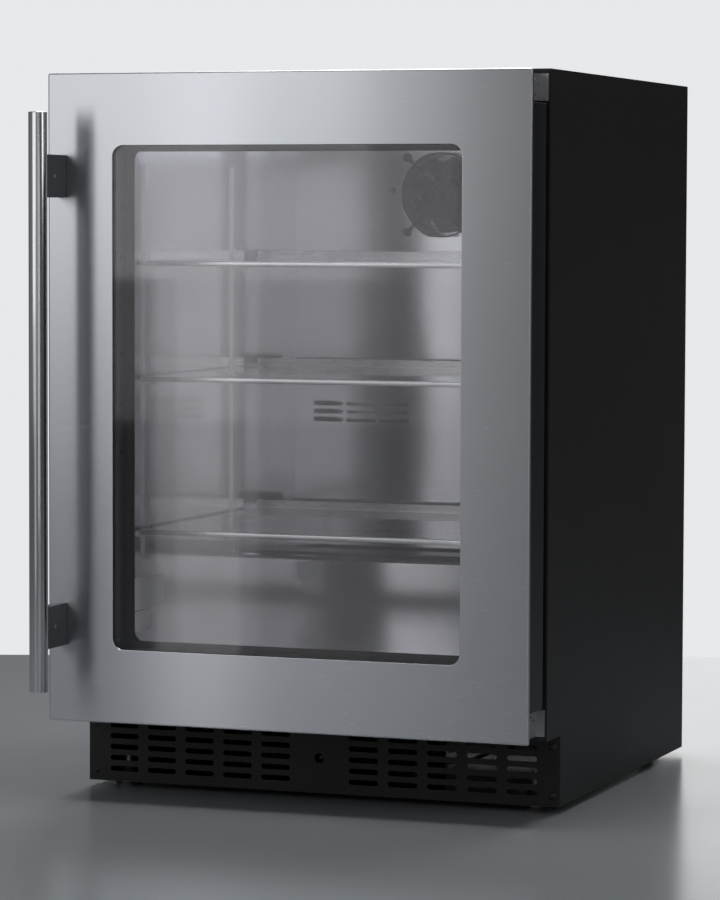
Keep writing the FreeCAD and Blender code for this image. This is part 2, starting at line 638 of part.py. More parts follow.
def edge_trim(half_w, edge_y, inward, top, upstand):
    """A channel along a shelf edge: a nose outside the glass, lips over and under it."""
    nose = edge_y - inward * TRIM_WALL
    back = edge_y + inward * TRIM_DEPTH
    low, high = min(nose, back), max(nose, back)
    bottom = top - SHELF_GLASS
    outer_bottom = bottom - (TRIM_HEIGHT - SHELF_GLASS) / 2
    outer_top = top + (TRIM_HEIGHT - SHELF_GLASS) / 2
    channel = block(-half_w, half_w, low, high, outer_bottom, outer_top)
    glass_low, glass_high = min(edge_y, back + inward), max(edge_y, back + inward)
    channel = channel.cut(block(-half_w - 1, half_w + 1, glass_low, glass_high, bottom, top))
    if upstand:
        wall = block(-half_w, half_w, min(nose, edge_y), max(nose, edge_y), top, top + upstand)
        channel = channel.fuse(wall).removeSplitter()
    return channel


# ---- Control box and light ----
def controls():
    """Ceiling control box with its thermostat knob and rocker light switch; the light strip."""
    z0 = ROOM_CEILING - CONTROL_HEIGHT
    z = z0 + CONTROL_HEIGHT / 2
    box = block(CONTROL_X0, CONTROL_X1, CONTROL_FRONT, CONTROL_FRONT + CONTROL_DEPTH, z0, ROOM_CEILING)
    box = rounded(box, 4.0, (0, 0, 1))
    knob_x = CONTROL_X0 + 35
    rocker_x = CONTROL_X1 - 32
    knob_front = CONTROL_FRONT - KNOB_DEPTH
    shaft = rod(KNOB_SHAFT_RADIUS, (knob_x, knob_front + 1, z), (knob_x, CONTROL_FRONT + 1, z))
    pocket_gap = 0.6
    w, h = ROCKER_HALF_W + pocket_gap, ROCKER_HALF_H + pocket_gap
    pocket = block(rocker_x - w, rocker_x + w, CONTROL_FRONT - 1, CONTROL_FRONT + 9, z - h, z + h)
    pivot_y = CONTROL_FRONT + 2
    pin_reach = w + PIVOT_ENGAGE
    left, right = (rocker_x - pin_reach, pivot_y, z), (rocker_x + pin_reach, pivot_y, z)
    sockets = rod(PIVOT_RADIUS + HINGE_RUNNING_GAP, left, right)
    save("control_box", box.fuse(shaft).cut([pocket, sockets]).removeSplitter())
    knob = rod(KNOB_RADIUS, (knob_x, knob_front - 1, z), (knob_x, CONTROL_FRONT - 0.8, z))
    pointer_top = z + KNOB_RADIUS - 1
    pointer = block(knob_x - 1, knob_x + 1, knob_front - 2.2, CONTROL_FRONT - 4, z, pointer_top)
    bore_radius = KNOB_SHAFT_RADIUS + SHAFT_RUNNING_GAP
    bore = rod(bore_radius, (knob_x, knob_front + 0.6, z), (knob_x, CONTROL_FRONT, z))
    save("thermostat_knob", knob.fuse(pointer).cut(bore).removeSplitter())
    w, h = ROCKER_HALF_W, ROCKER_HALF_H
    h -= 0.4
    rocker = block(rocker_x - w, rocker_x + w, CONTROL_FRONT - 2, CONTROL_FRONT + 5, z - h, z + h)
    pin_reach -= FIT_GAP
    left, right = (rocker_x - pin_reach, pivot_y, z), (rocker_x + pin_reach, pivot_y, z)
    pin = rod(PIVOT_RADIUS, left, right)
    rocker.rotate(V(rocker_x, pivot_y, z), V(1, 0, 0), -ROCKER_TILT)
    save("light_switch", rocker.fuse(pin).removeSplitter())
    x0, x1 = CONTROL_X1 + 25, ROOM_HALF_W - 42
    lens = block(x0, x1, FRAME_BACK + 4, FRAME_BACK + 28, ROOM_CEILING - 13, ROOM_CEILING)
    save("light_strip", rounded(lens, 5.0, (0, 0, 1)))


# ---- Condensing unit ----
def condensing_unit():
    """Compressor, grommets, condenser, its fan and shroud, refrigerant lines and power inlet."""
    y = (BULKHEAD + DIVIDER_SHEET + BACK_SHEET_FRONT) / 2
    x = -110.0
    plate_bottom = PAN_TOP + 13
    plate_top = plate_bottom + 3
    base = plate_top + 8
    top = base + COMPRESSOR_HEIGHT
    r = COMPRESSOR_RADIUS
    shell = rod(r, (x, y, base), (x, y, top))
    rim = along_circle(shell)
    shell = shell.makeFillet(24.0, rim)
    seam_z = base + 0.55 * COMPRESSOR_HEIGHT
    seam = rod(r + 3, (x, y, seam_z), (x, y, seam_z + 4))
    legs = block(x - 30, x + 30, y - 30, y + 30, plate_top - 1, base + 6)
    plate = rounded(block(x - 85, x + 85, y - 52, y + 52, plate_bottom, plate_top), 12.0, (0, 0, 1))
    relay = block(x + r - 8, x + r + 24, y - 26, y + 26, base + 24, base + 72)
    save("compressor", shell.fuse([seam, legs, plate, relay]).removeSplitter())
    grommets = []
    for gx in (x - 70, x + 70):
        for gy in (y - 38, y + 38):
            grommets.append(rod(11.0, (gx, gy, PAN_TOP), (gx, gy, plate_bottom)))
    save("compressor_grommets", group(grommets))
    half_w = CONDENSER_WIDTH / 2
    front = GRILLE_FACE + 40
    coil_back = front + 40
    coil_top = TOE_HEIGHT - 6
    save("condenser_coil", finned_coil(half_w, front, coil_back, PAN_TOP, coil_top, 24))
    shroud_y = coil_back + 3
    z = (PAN_TOP + coil_top) / 2
    shroud = block(-half_w, half_w, shroud_y, shroud_y + 3, PAN_TOP, coil_top)
    opening = rod(CONDENSER_FAN_RADIUS + 2, (0, shroud_y - 1, z), (0, shroud_y + 4, z))
    save("condenser_fan_shroud", shroud.cut(opening))
    rotor_front = shroud_y + 5
    rotor_depth = 14.0
    motor_front = rotor_front + rotor_depth + 4
    motor = rod(19.0, (0, motor_front, z), (0, motor_front + 28, z))
    stand = block(-9, 9, motor_front + 6, motor_front + 22, PAN_TOP, z)
    shaft = rod(FAN_SHAFT_RADIUS, (0, rotor_front + 3, z), (0, motor_front + 1, z))
    save("condenser_fan_motor", motor.fuse([stand, shaft]).removeSplitter())
    save("condenser_fan_rotor", fan_rotor(rotor_front, rotor_depth, CONDENSER_FAN_RADIUS, 12.0, z, 5))
    line_z = base + 12
    line_x = half_w + 34
    entry_y = (front + coil_back) / 2
    start_x = x + r + 0.5
    discharge = pipe(
        [
            (start_x, y + 34, line_z + 90),
            (start_x + 40, y + 34, line_z + 90),
            (start_x + 40, y + 34, line_z),
            (line_x, y + 34, line_z),
            (line_x, entry_y, line_z),
            (half_w + 7, entry_y, line_z),
        ],
        3.0,
        12.0,
    )
    drier_y = (BULKHEAD + entry_y) / 2
    drier = rod(9.0, (line_x, drier_y - 45, line_z), (line_x, drier_y + 45, line_z))
    suction = pipe(
        [
            (start_x, y - 34, line_z + 60),
            (start_x + 60, y - 34, line_z + 60),
            (start_x + 60, y - 34, MACHINE_TOP - 2),
        ],
        4.0,
        14.0,
    )
    save("refrigerant_lines", group([discharge.fuse(drier), suction]))
    y0 = BACK_SHEET_FRONT
    y1 = y0 + PANEL_SHEET
    x, z = INLET_X, INLET_Z
    barrel = rod(INLET_RADIUS, (x, y0 - 12, z), (x, y1 + 0.1, z))
    flange = rod(INLET_RADIUS + 4, (x, y1, z), (x, y1 + 2.5, z))
    nose = rod(INLET_RADIUS - 2, (x, y1, z), (x, REAR - 1.0, z))
    save("power_inlet", barrel.fuse([flange, nose]).removeSplitter())


# ---- Door ----
def hinge_notches():
    """The two open corners of the door body that clear the cabinet's hinge brackets."""
    x0, x1 = HINGE_X - HINGE_NOTCH_REACH, DOOR_HALF_W + 1
    y0, y1 = DOOR_FRONT + SKIN_RETURN, DOOR_BACK + 1
    upper = block(x0, x1, y0, y1, DOOR_TOP - HINGE_TOP_NOTCH, DOOR_TOP + 1)
    lower = block(x0, x1, y0, y1, DOOR_BOTTOM - 1, DOOR_BOTTOM + HINGE_BOTTOM_NOTCH)
    return [upper, lower]


def window(y0, y1, inset=0.0, radius=WINDOW_CORNER_RADIUS):
    """The window's outline as a cutter, drawn in by an inset."""
    return pane(WINDOW_HALF_W - inset, WINDOW_BOTTOM + inset, WINDOW_TOP - inset, y0, y1, radius)


def door():
    """Skin, body, two panes with the jamb and bead between them, retainer, liner and gasket."""
    w = DOOR_HALF_W
    t = SKIN_SHEET
    f = DOOR_FRONT
    g = FIT_GAP
    edge = -PANE_EDGE_COVER
    jamb_radius = WINDOW_CORNER_RADIUS + JAMB_WALL
    skin = block(-w, w, f, f + SKIN_RETURN, DOOR_BOTTOM, DOOR_TOP)
    hollow = block(-w + t, w - t, f + t, f + SKIN_RETURN + 1, DOOR_BOTTOM + t, DOOR_TOP - t)
    save("door_skin", skin.cut([hollow, window(f - 1, f + t + 1)]))
    tray_w = w - t - g
    tray = block(-tray_w, tray_w, f + t, f + SKIN_RETURN, DOOR_BOTTOM + t + g, DOOR_TOP - t - g)
    core = block(-w, w, f + SKIN_RETURN, DOOR_BACK, DOOR_BOTTOM, DOOR_TOP)
    front_rebate = window(f, OUTER_PANE_BACK, edge - g)
    way_through = window(f, DOOR_BACK + 1, -(JAMB_WALL + g), jamb_radius)
    rear_rebate = window(INNER_PANE_FRONT, DOOR_BACK + 1, edge - g)
    cuts = [front_rebate, way_through, rear_rebate] + hinge_notches() + bush_seats()
    save("door_frame", tray.fuse(core).cut(cuts).removeSplitter())
    save("outer_pane", window(OUTER_PANE_FRONT, OUTER_PANE_BACK, edge))
    jamb = window(OUTER_PANE_BACK, JAMB_BACK, -JAMB_WALL, jamb_radius).cut(window(f, JAMB_BACK + 1))
    save("window_jamb", jamb.fuse(jamb_bosses(f + JAMB_BOSS_DEPTH)).removeSplitter())
    bead = window(JAMB_BACK, INNER_PANE_FRONT, -JAMB_WALL, jamb_radius)
    save("glass_bead", bead.cut(window(JAMB_BACK - 1, INNER_PANE_FRONT + 1, BEAD_WIDTH)))
    save("inner_pane", window(INNER_PANE_FRONT, INNER_PANE_BACK, edge))
    retainer = window(INNER_PANE_BACK, DOOR_BACK, edge)
    inside = window(INNER_PANE_BACK - 1, DOOR_BACK + 1, edge + RETAINER_WIDTH)
    save("pane_retainer", retainer.cut(inside))
    gasket_w = w - GASKET_INSET
    low, high = DOOR_BOTTOM + GASKET_INSET, DOOR_TOP - GASKET_INSET
    gasket = ring(gasket_w, low, high, GASKET_WIDTH, DOOR_BACK, FACE - GASKET_SQUEEZE_GAP, 4.0)
    save("door_gasket", gasket)
    inset = GASKET_WIDTH + g
    liner_back = DOOR_BACK + DOOR_LINER_THICKNESS
    liner = pane(gasket_w - inset, low + inset, high - inset, DOOR_BACK, liner_back)
    save("door_liner", liner.cut(window(DOOR_BACK - 1, liner_back + 1, 4.0)))


def jamb_bosses(y):
    """Small round bosses in a row up each side of the jamb."""
    bosses = []
    for row in range(JAMB_BOSS_COUNT):
        z = WINDOW_BOTTOM + JAMB_BOSS_FIRST + row * JAMB_BOSS_PITCH
        for side in (-1, 1):
            start = side * (WINDOW_HALF_W + JAMB_WALL / 2)
            end = side * (WINDOW_HALF_W - JAMB_BOSS_HEIGHT)
            bosses.append(rod(JAMB_BOSS_RADIUS, (start, y, z), (end, y, z)))
    return bosses


def bush_places():
    """The two hinge bushes: seat height and the way (+1 up, -1 down) each goes in."""
    return [(DOOR_TOP - HINGE_TOP_NOTCH, -1), (DOOR_BOTTOM + HINGE_BOTTOM_NOTCH, 1)]


def bush_seats():
    """Holes in the door body that hold the hinge bushes."""
    radius = HINGE_PIN_RADIUS + HINGE_RUNNING_GAP + BUSH_WALL
    seats = []
    for z, into in bush_places():
        bottom = z + into * (HINGE_PIN_ENGAGE + 2)
        seats.append(rod(radius, (HINGE_X, HINGE_Y, z - into), (HINGE_X, HINGE_Y, bottom)))
    return seats


def hinges():
    """Brackets on the cabinet face, pins in them, and bushes in the door body."""
    pins = []
    bushes = []
    for name, (seat, into) in zip(("top", "bottom"), bush_places()):
        save(f"hinge_bracket_{name}", hinge_bracket(seat, -into))
        pins.append(hinge_pin(seat, into))
        bushes.append(hinge_bush(seat, into))
    save("hinge_pins", group(pins))
    save("hinge_bushes", group(bushes))


def hinge_bracket(seat, away):
    """A level leaf with a round eye, an upright plate with three holes, and a foot on the face."""
    r = HINGE_LEAF_RADIUS
    near = seat + away * HINGE_LEAF_OFFSET
    far = near + away * HINGE_SHEET
    low, high = min(near, far), max(near, far)
    plate_low = low - (HINGE_PLATE_HEIGHT - HINGE_SHEET) / 2
    plate_high = plate_low + HINGE_PLATE_HEIGHT
    leaf = block(HINGE_X - r, HINGE_X + r, HINGE_Y, FACE, low, high)
    eye = rod(r, (HINGE_X, HINGE_Y, low), (HINGE_X, HINGE_Y, high))
    x0 = HINGE_X + r - HINGE_SHEET + 1
    x1 = x0 + HINGE_SHEET
    plate = block(x0, x1, HINGE_Y + 12, FACE, plate_low, plate_high)
    corners = [e for e in along(plate, (1, 0, 0)) if e.CenterOfMass.y < HINGE_Y + 13]
    plate = plate.makeChamfer(6.0, corners)
    foot = block(HINGE_X, DOOR_HALF_W - 1, FACE - HINGE_SHEET, FACE, plate_low, plate_high)
    mid = (plate_low + plate_high) / 2
    holes = []
    for y, z in ((24, mid - 9), (24, mid + 9), (34, mid + 5)):
        holes.append(rod(HINGE_HOLE_RADIUS, (x0 - 2, HINGE_Y + y, z), (x1 + 6, HINGE_Y + y, z)))
    holes.append(rod(HINGE_PIN_RADIUS, (HINGE_X, HINGE_Y, low - 1), (HINGE_X, HINGE_Y, high + 1)))
    return leaf.fuse([eye, plate, foot]).cut(holes).removeSplitter()


def hinge_pin(seat, into):
    """A pin through the bracket's eye and into the bush, with a cap and a collar."""
    def level(offset):
        return (HINGE_X, HINGE_Y, seat - into * offset)

    head = HINGE_LEAF_OFFSET + HINGE_SHEET
    pin = rod(HINGE_PIN_RADIUS, level(head), level(-HINGE_PIN_ENGAGE))
    cap = rod(HINGE_PIN_RADIUS + 2.5, level(head), level(head + 3))
    collar = rod(HINGE_PIN_RADIUS + 2.5, level(HINGE_LEAF_OFFSET), level(2.6))
    return pin.fuse([cap, collar]).removeSplitter()


def hinge_bush(seat, into):
    """A flanged sleeve pressed into the door body, bored for the pin."""
    def level(offset):
        return (HINGE_X, HINGE_Y, seat - into * offset)

    bore = HINGE_PIN_RADIUS + HINGE_RUNNING_GAP
    sleeve = rod(bore + BUSH_WALL, level(0), level(-HINGE_PIN_ENGAGE))
    rim = rod(bore + BUSH_WALL + 2.5, level(0), level(2))
    hole = rod(bore, level(3), level(-HINGE_PIN_ENGAGE - 1))
    return sleeve.fuse(rim).cut(hole).removeSplitter()


def handle():
    """Round bar on two flat brackets, each locked by a set screw."""
    r = BAR_DIAMETER / 2
    bar = rod(r, (HANDLE_X, HANDLE_Y, BAR_BOTTOM), (HANDLE_X, HANDLE_Y, BAR_TOP))
    save("handle_bar", bar.makeChamfer(0.8, along_circle(bar)))
    screws = []
    half_t = BRACKET_THICKNESS / 2
    middle_y = DOOR_FRONT - BAR_STANDOFF / 2
    ends = (("lower", BAR_BOTTOM + BRACKET_END_INSET), ("upper", BAR_TOP - BRACKET_END_INSET))
    for name, z in ends:
        low, high = z - BRACKET_HEIGHT / 2, z + BRACKET_HEIGHT / 2
        face = HANDLE_X + half_t
        arm = block(HANDLE_X - half_t, face, HANDLE_Y, DOOR_FRONT, low, high)
        saddle = rod(r, (HANDLE_X, HANDLE_Y, low - 1), (HANDLE_X, HANDLE_Y, high + 1))
        depth = face - SET_SCREW_LENGTH
        hole = rod(SET_SCREW_RADIUS + 0.1, (face + 1, middle_y, z), (depth, middle_y, z))
        save(f"handle_bracket_{name}", arm.cut([saddle, hole]))
        screw = rod(SET_SCREW_RADIUS, (face - 0.8, middle_y, z), (depth, middle_y, z))
        socket = rod(1.2, (face, middle_y, z), (face - 2.5, middle_y, z))
        screws.append(screw.cut(socket))
    save("handle_set_screws", group(screws))


def cabinet_screws():
    """Black cross-recessed screws of the grille, fan guard and evaporator cover."""
    screws = []
    head, height, shank = SCREW_HEAD, SCREW_HEAD_HEIGHT, SCREW_SHANK
    for x, z in grille_screw_places():
        screws.append(pan_head(x, GRILLE_FACE, z, head, height, shank, SCREW_LENGTH))
    recessed_y = GRILLE_FACE + GRILLE_SHEET + 6
    screws.append(pan_head(0, recessed_y, KICK_MIDDLE_Z, head, height, shank, 8))
    x, z, shank = COVER_SCREW
    screws.append(pan_head(x, COVER_FRONT, z, 4.0, 1.8, shank, 4.0))
    for x, z, shank in guard_screws():
        screws.append(pan_head(x, COVER_FRONT, z, 2.9, 6.4, shank, 4.0))
    save("cabinet_screws", group(screws))


cabinet_shell()
feet()
toe_grille()
liner_and_foam()
cold_air_parts()
shelves()
controls()
condensing_unit()
door()
hinges()
handle()
cabinet_screws()
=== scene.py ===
# %% [markdown]
# # Undercounter refrigerator
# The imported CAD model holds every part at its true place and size. This notebook dresses it: it sets a
# camera, a plain studio, a finish for every part, and finer meshes for the parts that catch the eye.
# All lengths are metres, +Z is up, and the front of the refrigerator faces -Y.

# %% Load the frame
import json
import math

import bmesh
import bpy
import numpy as np
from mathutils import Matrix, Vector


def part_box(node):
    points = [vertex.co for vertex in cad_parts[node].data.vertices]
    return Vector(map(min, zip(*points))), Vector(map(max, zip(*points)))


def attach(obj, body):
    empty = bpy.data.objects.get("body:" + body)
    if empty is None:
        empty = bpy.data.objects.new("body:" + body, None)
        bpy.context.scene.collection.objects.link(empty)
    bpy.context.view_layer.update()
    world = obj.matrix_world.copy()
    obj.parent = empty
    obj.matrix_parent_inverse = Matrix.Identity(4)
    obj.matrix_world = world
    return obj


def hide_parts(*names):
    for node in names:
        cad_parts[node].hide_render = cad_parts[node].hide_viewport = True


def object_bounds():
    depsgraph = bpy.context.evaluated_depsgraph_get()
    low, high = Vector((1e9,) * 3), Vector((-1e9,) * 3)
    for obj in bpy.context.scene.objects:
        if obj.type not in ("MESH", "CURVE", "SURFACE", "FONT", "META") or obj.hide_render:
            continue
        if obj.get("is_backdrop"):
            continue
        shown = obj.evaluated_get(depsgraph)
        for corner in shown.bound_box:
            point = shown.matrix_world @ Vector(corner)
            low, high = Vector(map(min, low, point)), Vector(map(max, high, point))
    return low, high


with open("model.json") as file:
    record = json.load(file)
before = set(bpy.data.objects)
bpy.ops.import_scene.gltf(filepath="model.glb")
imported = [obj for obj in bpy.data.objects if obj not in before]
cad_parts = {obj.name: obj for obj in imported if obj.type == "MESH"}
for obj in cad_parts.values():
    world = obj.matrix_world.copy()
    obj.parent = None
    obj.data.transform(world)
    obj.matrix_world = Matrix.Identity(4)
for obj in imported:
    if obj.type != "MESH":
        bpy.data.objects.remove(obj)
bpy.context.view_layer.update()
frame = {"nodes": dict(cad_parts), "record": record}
nodes = frame["nodes"]

# %% [markdown]
# ## Camera
# A long lens, about 150 mm, stands a little over four metres away and a bit below the top of the
# cabinet. It could be shifted to keep uprights parallel; a small downward tilt does nearly the same
# and keeps the picture centred from every side.

# %% Camera
CAMERA_PLACE = (1.557, -4.246, 0.689)
CAMERA_YAW = 20.302
CAMERA_TILT = -3.548
CAMERA_ROLL = 0.199
CAMERA_LENS = 147.3

camera_data = bpy.data.cameras.new("camera")
camera_data.lens = CAMERA_LENS
camera_data.sensor_width = 36.0
camera_data.clip_end = 100.0
camera = bpy.data.objects.new("camera", camera_data)
camera.location = CAMERA_PLACE
camera.rotation_mode = "XYZ"
turn = [math.radians(a) for a in (90 + CAMERA_TILT, -CAMERA_ROLL, CAMERA_YAW)]
camera.rotation_euler = turn
bpy.context.scene.collection.objects.link(camera)
bpy.context.scene.camera = camera

# %% [markdown]
# ## Studio
# Brushed steel shows mostly what it faces. A large soft card close to the front left, made of tiles of
# different greys, gives the door its bright upper corner and lets it fall away to the right and the
# bottom. One bright column of it reaches through the glass to the back wall of the cold room. The rest
# of the surroundings are dim, and dimmest behind the right side, so that the black cabinet stays black.
# Rays from the camera see a plain pale backdrop instead. The cards themselves are hidden from the camera,
# so none of them blocks a view from another side. Two small lamps fill the cold room, and the one beside
# the right wall is kept out of mirror images, where it would show as a stripe when the door is open.

# %% Lights
def area_light(name, place, aim, size, power, colour=(1.0, 1.0, 1.0), spread=180.0, mirrored=True):
    """A rectangular soft light at place that faces the point aim; spread is its beam in degrees.
    One that is not mirrored lights dull surfaces only, so no shiny wall shows its outline."""
    data = bpy.data.lights.new(name, "AREA")
    data.shape = "RECTANGLE"
    data.size, data.size_y = size
    data.energy = power
    data.color = colour
    data.spread = math.radians(spread)
    light = bpy.data.objects.new(name, data)
    light.location = place
    direction = np.array(aim) - np.array(place)
    flat = math.hypot(direction[0], direction[1])
    light.rotation_euler = (math.pi / 2 + math.atan2(direction[2], flat), 0,
                            math.atan2(direction[1], direction[0]) - math.pi / 2)
    light.visible_camera = False
    light.visible_glossy = mirrored
    bpy.context.scene.collection.objects.link(light)
    return light


CARD_Y = -1.55
CARD_COLUMNS = (-1.35, -0.71, -0.57, -0.36, -0.22, -0.08)
CARD_ROWS = (0.02, 0.38, 0.60, 0.80, 1.55)
CARD_GREYS = ((0.01, 0.75, 0.22, 0.16, 0.08),
              (0.34, 1.10, 0.36, 0.26, 0.12),
              (1.10, 1.25, 0.76, 0.38, 0.16),
              (1.12, 1.30, 1.08, 0.50, 0.16))
for row, (low, high) in enumerate(zip(CARD_ROWS, CARD_ROWS[1:])):
    for column, (x0, x1) in enumerate(zip(CARD_COLUMNS, CARD_COLUMNS[1:])):
        middle = ((x0 + x1) / 2, CARD_Y, (low + high) / 2)
        size = (x1 - x0, high - low)
        watts = CARD_GREYS[row][column] * math.pi * size[0] * size[1]
        area_light(f"card_{row}_{column}", middle, (middle[0], 0.0, middle[2]), size, watts)

COLD = (0.95, 0.96, 1.0)
# Each row: name, place, the point it faces, width and height, watts, and what is not usual about it.
LAMPS = (
    ("top", (0.0, 0.9, 2.4), (0.0, -0.2, 0.3), (1.8, 1.2), 40.0, {}),
    ("front_floor", (0.0, -0.50, 2.7), (0.0, -0.45, 0.0), (1.2, 0.6), 2.6, {"spread": 50.0}),
    ("handle_card", (1.42, -2.20, 0.60), (-0.28, -0.36, 0.50), (0.22, 1.20), 0.9, {}),
    ("front_right", (0.55, -1.90, 0.62), (0.0, 0.0, 0.62), (0.50, 1.10), 0.9, {}),
    ("right", (2.6, -0.6, 1.7), (0.3, 0.1, 0.5), (0.8, 1.4), 7.0, {}),
    ("rear", (-0.9, 2.6, 1.9), (0.0, 0.4, 0.4), (1.4, 1.2), 22.0, {}),
    ("floor_card", (-0.10, 2.50, 0.35), (-0.10, 0.0, 0.35), (1.0, 0.70), 3.0, {}),
    ("cold_room_top", (0.0, -0.10, 0.812), (0.0, -0.06, 0.30), (0.34, 0.18), 0.30, {"colour": COLD}),
    ("cold_room_right", (0.236, -0.190, 0.49), (-0.25, 0.08, 0.49), (0.04, 0.60), 0.80,
     {"colour": COLD, "mirrored": False}),
)
for name, place, aim, size, watts, unusual in LAMPS:
    area_light(name, place, aim, size, watts, **unusual)
print(len(bpy.data.lights), "lights")

# %% [markdown]
# ## Surroundings
# One formula on the direction of a ray gives the dim room: it starts from a mid grey and loses light
# towards the right and the back. Light Path tells rays from the camera apart, and gives them the plain
# backdrop.

# %% Surroundings
ROOM_GREY = 0.12
LOSS_TO_RIGHT = 0.05
LOSS_TO_BACK = 0.06
BACKDROP = (0.80, 0.81, 0.83, 1.0)

world = bpy.data.worlds.new("studio")
world.use_nodes = True
tree = world.node_tree
background = tree.nodes["Background"]
direction = tree.nodes.new("ShaderNodeTexCoord")
split = tree.nodes.new("ShaderNodeSeparateXYZ")
sideways = tree.nodes.new("ShaderNodeMath")
sideways.operation = "MULTIPLY_ADD"
sideways.inputs[1].default_value = -LOSS_TO_RIGHT
sideways.inputs[2].default_value = ROOM_GREY
backwards = tree.nodes.new("ShaderNodeMath")
backwards.operation = "MULTIPLY_ADD"
backwards.inputs[1].default_value = -LOSS_TO_BACK
backwards.use_clamp = True
grey = tree.nodes.new("ShaderNodeCombineColor")
eye = tree.nodes.new("ShaderNodeLightPath")
choose = tree.nodes.new("ShaderNodeMix")
choose.data_type = "RGBA"
choose.inputs[7].default_value = BACKDROP
tree.links.new(direction.outputs["Generated"], split.inputs[0])
tree.links.new(split.outputs["X"], sideways.inputs[0])
tree.links.new(split.outputs["Y"], backwards.inputs[0])
tree.links.new(sideways.outputs[0], backwards.inputs[2])
for channel in grey.inputs[:3]:
    tree.links.new(backwards.outputs[0], channel)
tree.links.new(eye.outputs["Is Camera Ray"], choose.inputs[0])
tree.links.new(grey.outputs[0], choose.inputs[6])
tree.links.new(choose.outputs[2], background.inputs["Color"])
bpy.context.scene.world = world
bpy.context.scene.view_settings.view_transform = "Standard"
print("room grey", ROOM_GREY)

# %% [markdown]
# ## Floor
# The floor could be any size. It is a plain sheet that ends a little way behind the cabinet, where the
# pale backdrop takes over.

# %% Floor
def floor_sheet(near, far, half_width):
    """A flat sheet at floor level, square to the line of sight, from near to far along it."""
    yaw = math.radians(CAMERA_YAW)
    ahead = np.array([-math.sin(yaw), math.cos(yaw), 0.0])
    aside = np.array([math.cos(yaw), math.sin(yaw), 0.0])
    corners = [ahead * a + aside * s for a, s in
               ((near, -half_width), (near, half_width), (far, half_width), (far, -half_width))]
    mesh = bpy.data.meshes.new("floor")
    mesh.from_pydata([tuple(c) for c in corners], [], [(0, 1, 2, 3)])
    obj = bpy.data.objects.new("floor", mesh)
    bpy.context.scene.collection.objects.link(obj)
    obj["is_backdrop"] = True
    return obj


FLOOR_NEAR = -9.0
FLOOR_FAR = 1.30
FLOOR_HALF_WIDTH = 8.0
floor = floor_sheet(FLOOR_NEAR, FLOOR_FAR, FLOOR_HALF_WIDTH)

# %% [markdown]
# ## Shader sums
# A finish is easier to read as a formula than as a drawing of nodes. `Val` wraps one socket, so that
# sums between values add their Math nodes, and `Finish.node` adds any other node by its type.

# %% Shader sums
class Val:
    """One socket of a finish. Sums and products of Vals add Math nodes."""

    def __init__(self, finish, socket):
        self.finish, self.socket = finish, socket

    def math(self, operation, *others):
        return self.finish.node("ShaderNodeMath", {"operation": operation}, (self, *others))

    def __add__(self, other):
        return self.math("ADD", other)

    def __mul__(self, other):
        return self.math("MULTIPLY", other)

    def __sub__(self, other):
        return self.math("SUBTRACT", other)


class Finish:
    """A material whose shader's plain values are given by name."""

    def __init__(self, name, **values):
        self.material = bpy.data.materials.new(name)
        self.material.use_nodes = True
        self.tree = self.material.node_tree
        self.shader = self.tree.nodes["Principled BSDF"]
        for key, value in values.items():
            socket = self.shader.inputs[key.replace("_", " ").title().replace("Ior", "IOR")]
            socket.default_value = (*value, 1.0) if isinstance(value, tuple) else value

    def node(self, kind, settings=None, values=(), output=0):
        """Add a node: its settings first, then its sockets, by order or by name. Returns an output."""
        made = self.tree.nodes.new(kind)
        for key, value in (settings or {}).items():
            if key == "stops":
                ramp = made.color_ramp
                for spot, shade in value[2:]:
                    ramp.elements.new(spot)
                for element, (spot, shade) in zip(ramp.elements, sorted(value)):
                    element.position = spot
                    element.color = (*shade, 1.0)
            else:
                setattr(made, key, value)
        pairs = values.items() if isinstance(values, dict) else enumerate(values)
        for key, value in pairs:
            self.feed(made.inputs[key], value)
        return Val(self, made.outputs[output])

    def feed(self, socket, value):
        """Link or set one socket."""
        if isinstance(value, Val):
            self.tree.links.new(value.socket, socket)
        elif isinstance(value, tuple) and socket.type == "RGBA" and len(value) == 3:
            socket.default_value = (*value, 1.0)
        else:
            socket.default_value = value

    def place(self, scale=(1.0, 1.0, 1.0)):
        """Object coordinates, stretched by a scale on each axis."""
        where = self.node("ShaderNodeTexCoord", output=3)
        return self.node("ShaderNodeMapping", {"vector_type": "POINT"},
                         {"Vector": where, "Scale": scale})

    def noise(self, scale, stretch=(1.0, 1.0, 1.0), detail=3.0, roughness=0.5):
        """Soft noise from 0 to 1 around 0.5, scale in waves per metre, stretched on each axis."""
        return self.node("ShaderNodeTexNoise", {}, {"Vector": self.place(stretch), "Scale": scale,
                                                    "Detail": detail, "Roughness": roughness})

    def blend(self, amount, first, second):
        """A colour between two, by amount."""
        return self.node("ShaderNodeMix", {"data_type": "RGBA"},
                         {"Factor": amount, 6: first, 7: second}, output=2)

    def set(self, **sockets):
        """Feed what varies over the surface to the shader."""
        for key, value in sockets.items():
            self.feed(self.shader.inputs[key.replace("_", " ").title()], value)
        return self

    def bump(self, height, distance, strength=1.0):
        """Turn a height from 0 to 1 into a bend of the surface normal; distance is in metres."""
        sockets = {"Strength": strength, "Distance": distance, "Height": height}
        return self.set(normal=self.node("ShaderNodeBump", {}, sockets))


def wear(low, high, amount):
    """low to high as amount goes from 0 to 1."""
    return amount * (high - low) + low


# %% [markdown]
# ## Metal finishes
# Brushed steel is a mirror cut by thousands of fine parallel lines. The lines are noise pulled out
# along the brushing: they change the roughness and, very slightly, the height. A second, wider noise
# stands for the cloudy patches that a real sheet has.

# %% Metal finishes
GRAIN = {"x": (0.012, 1.0, 1.0), "y": (1.0, 0.012, 1.0), "z": (1.0, 1.0, 0.012)}


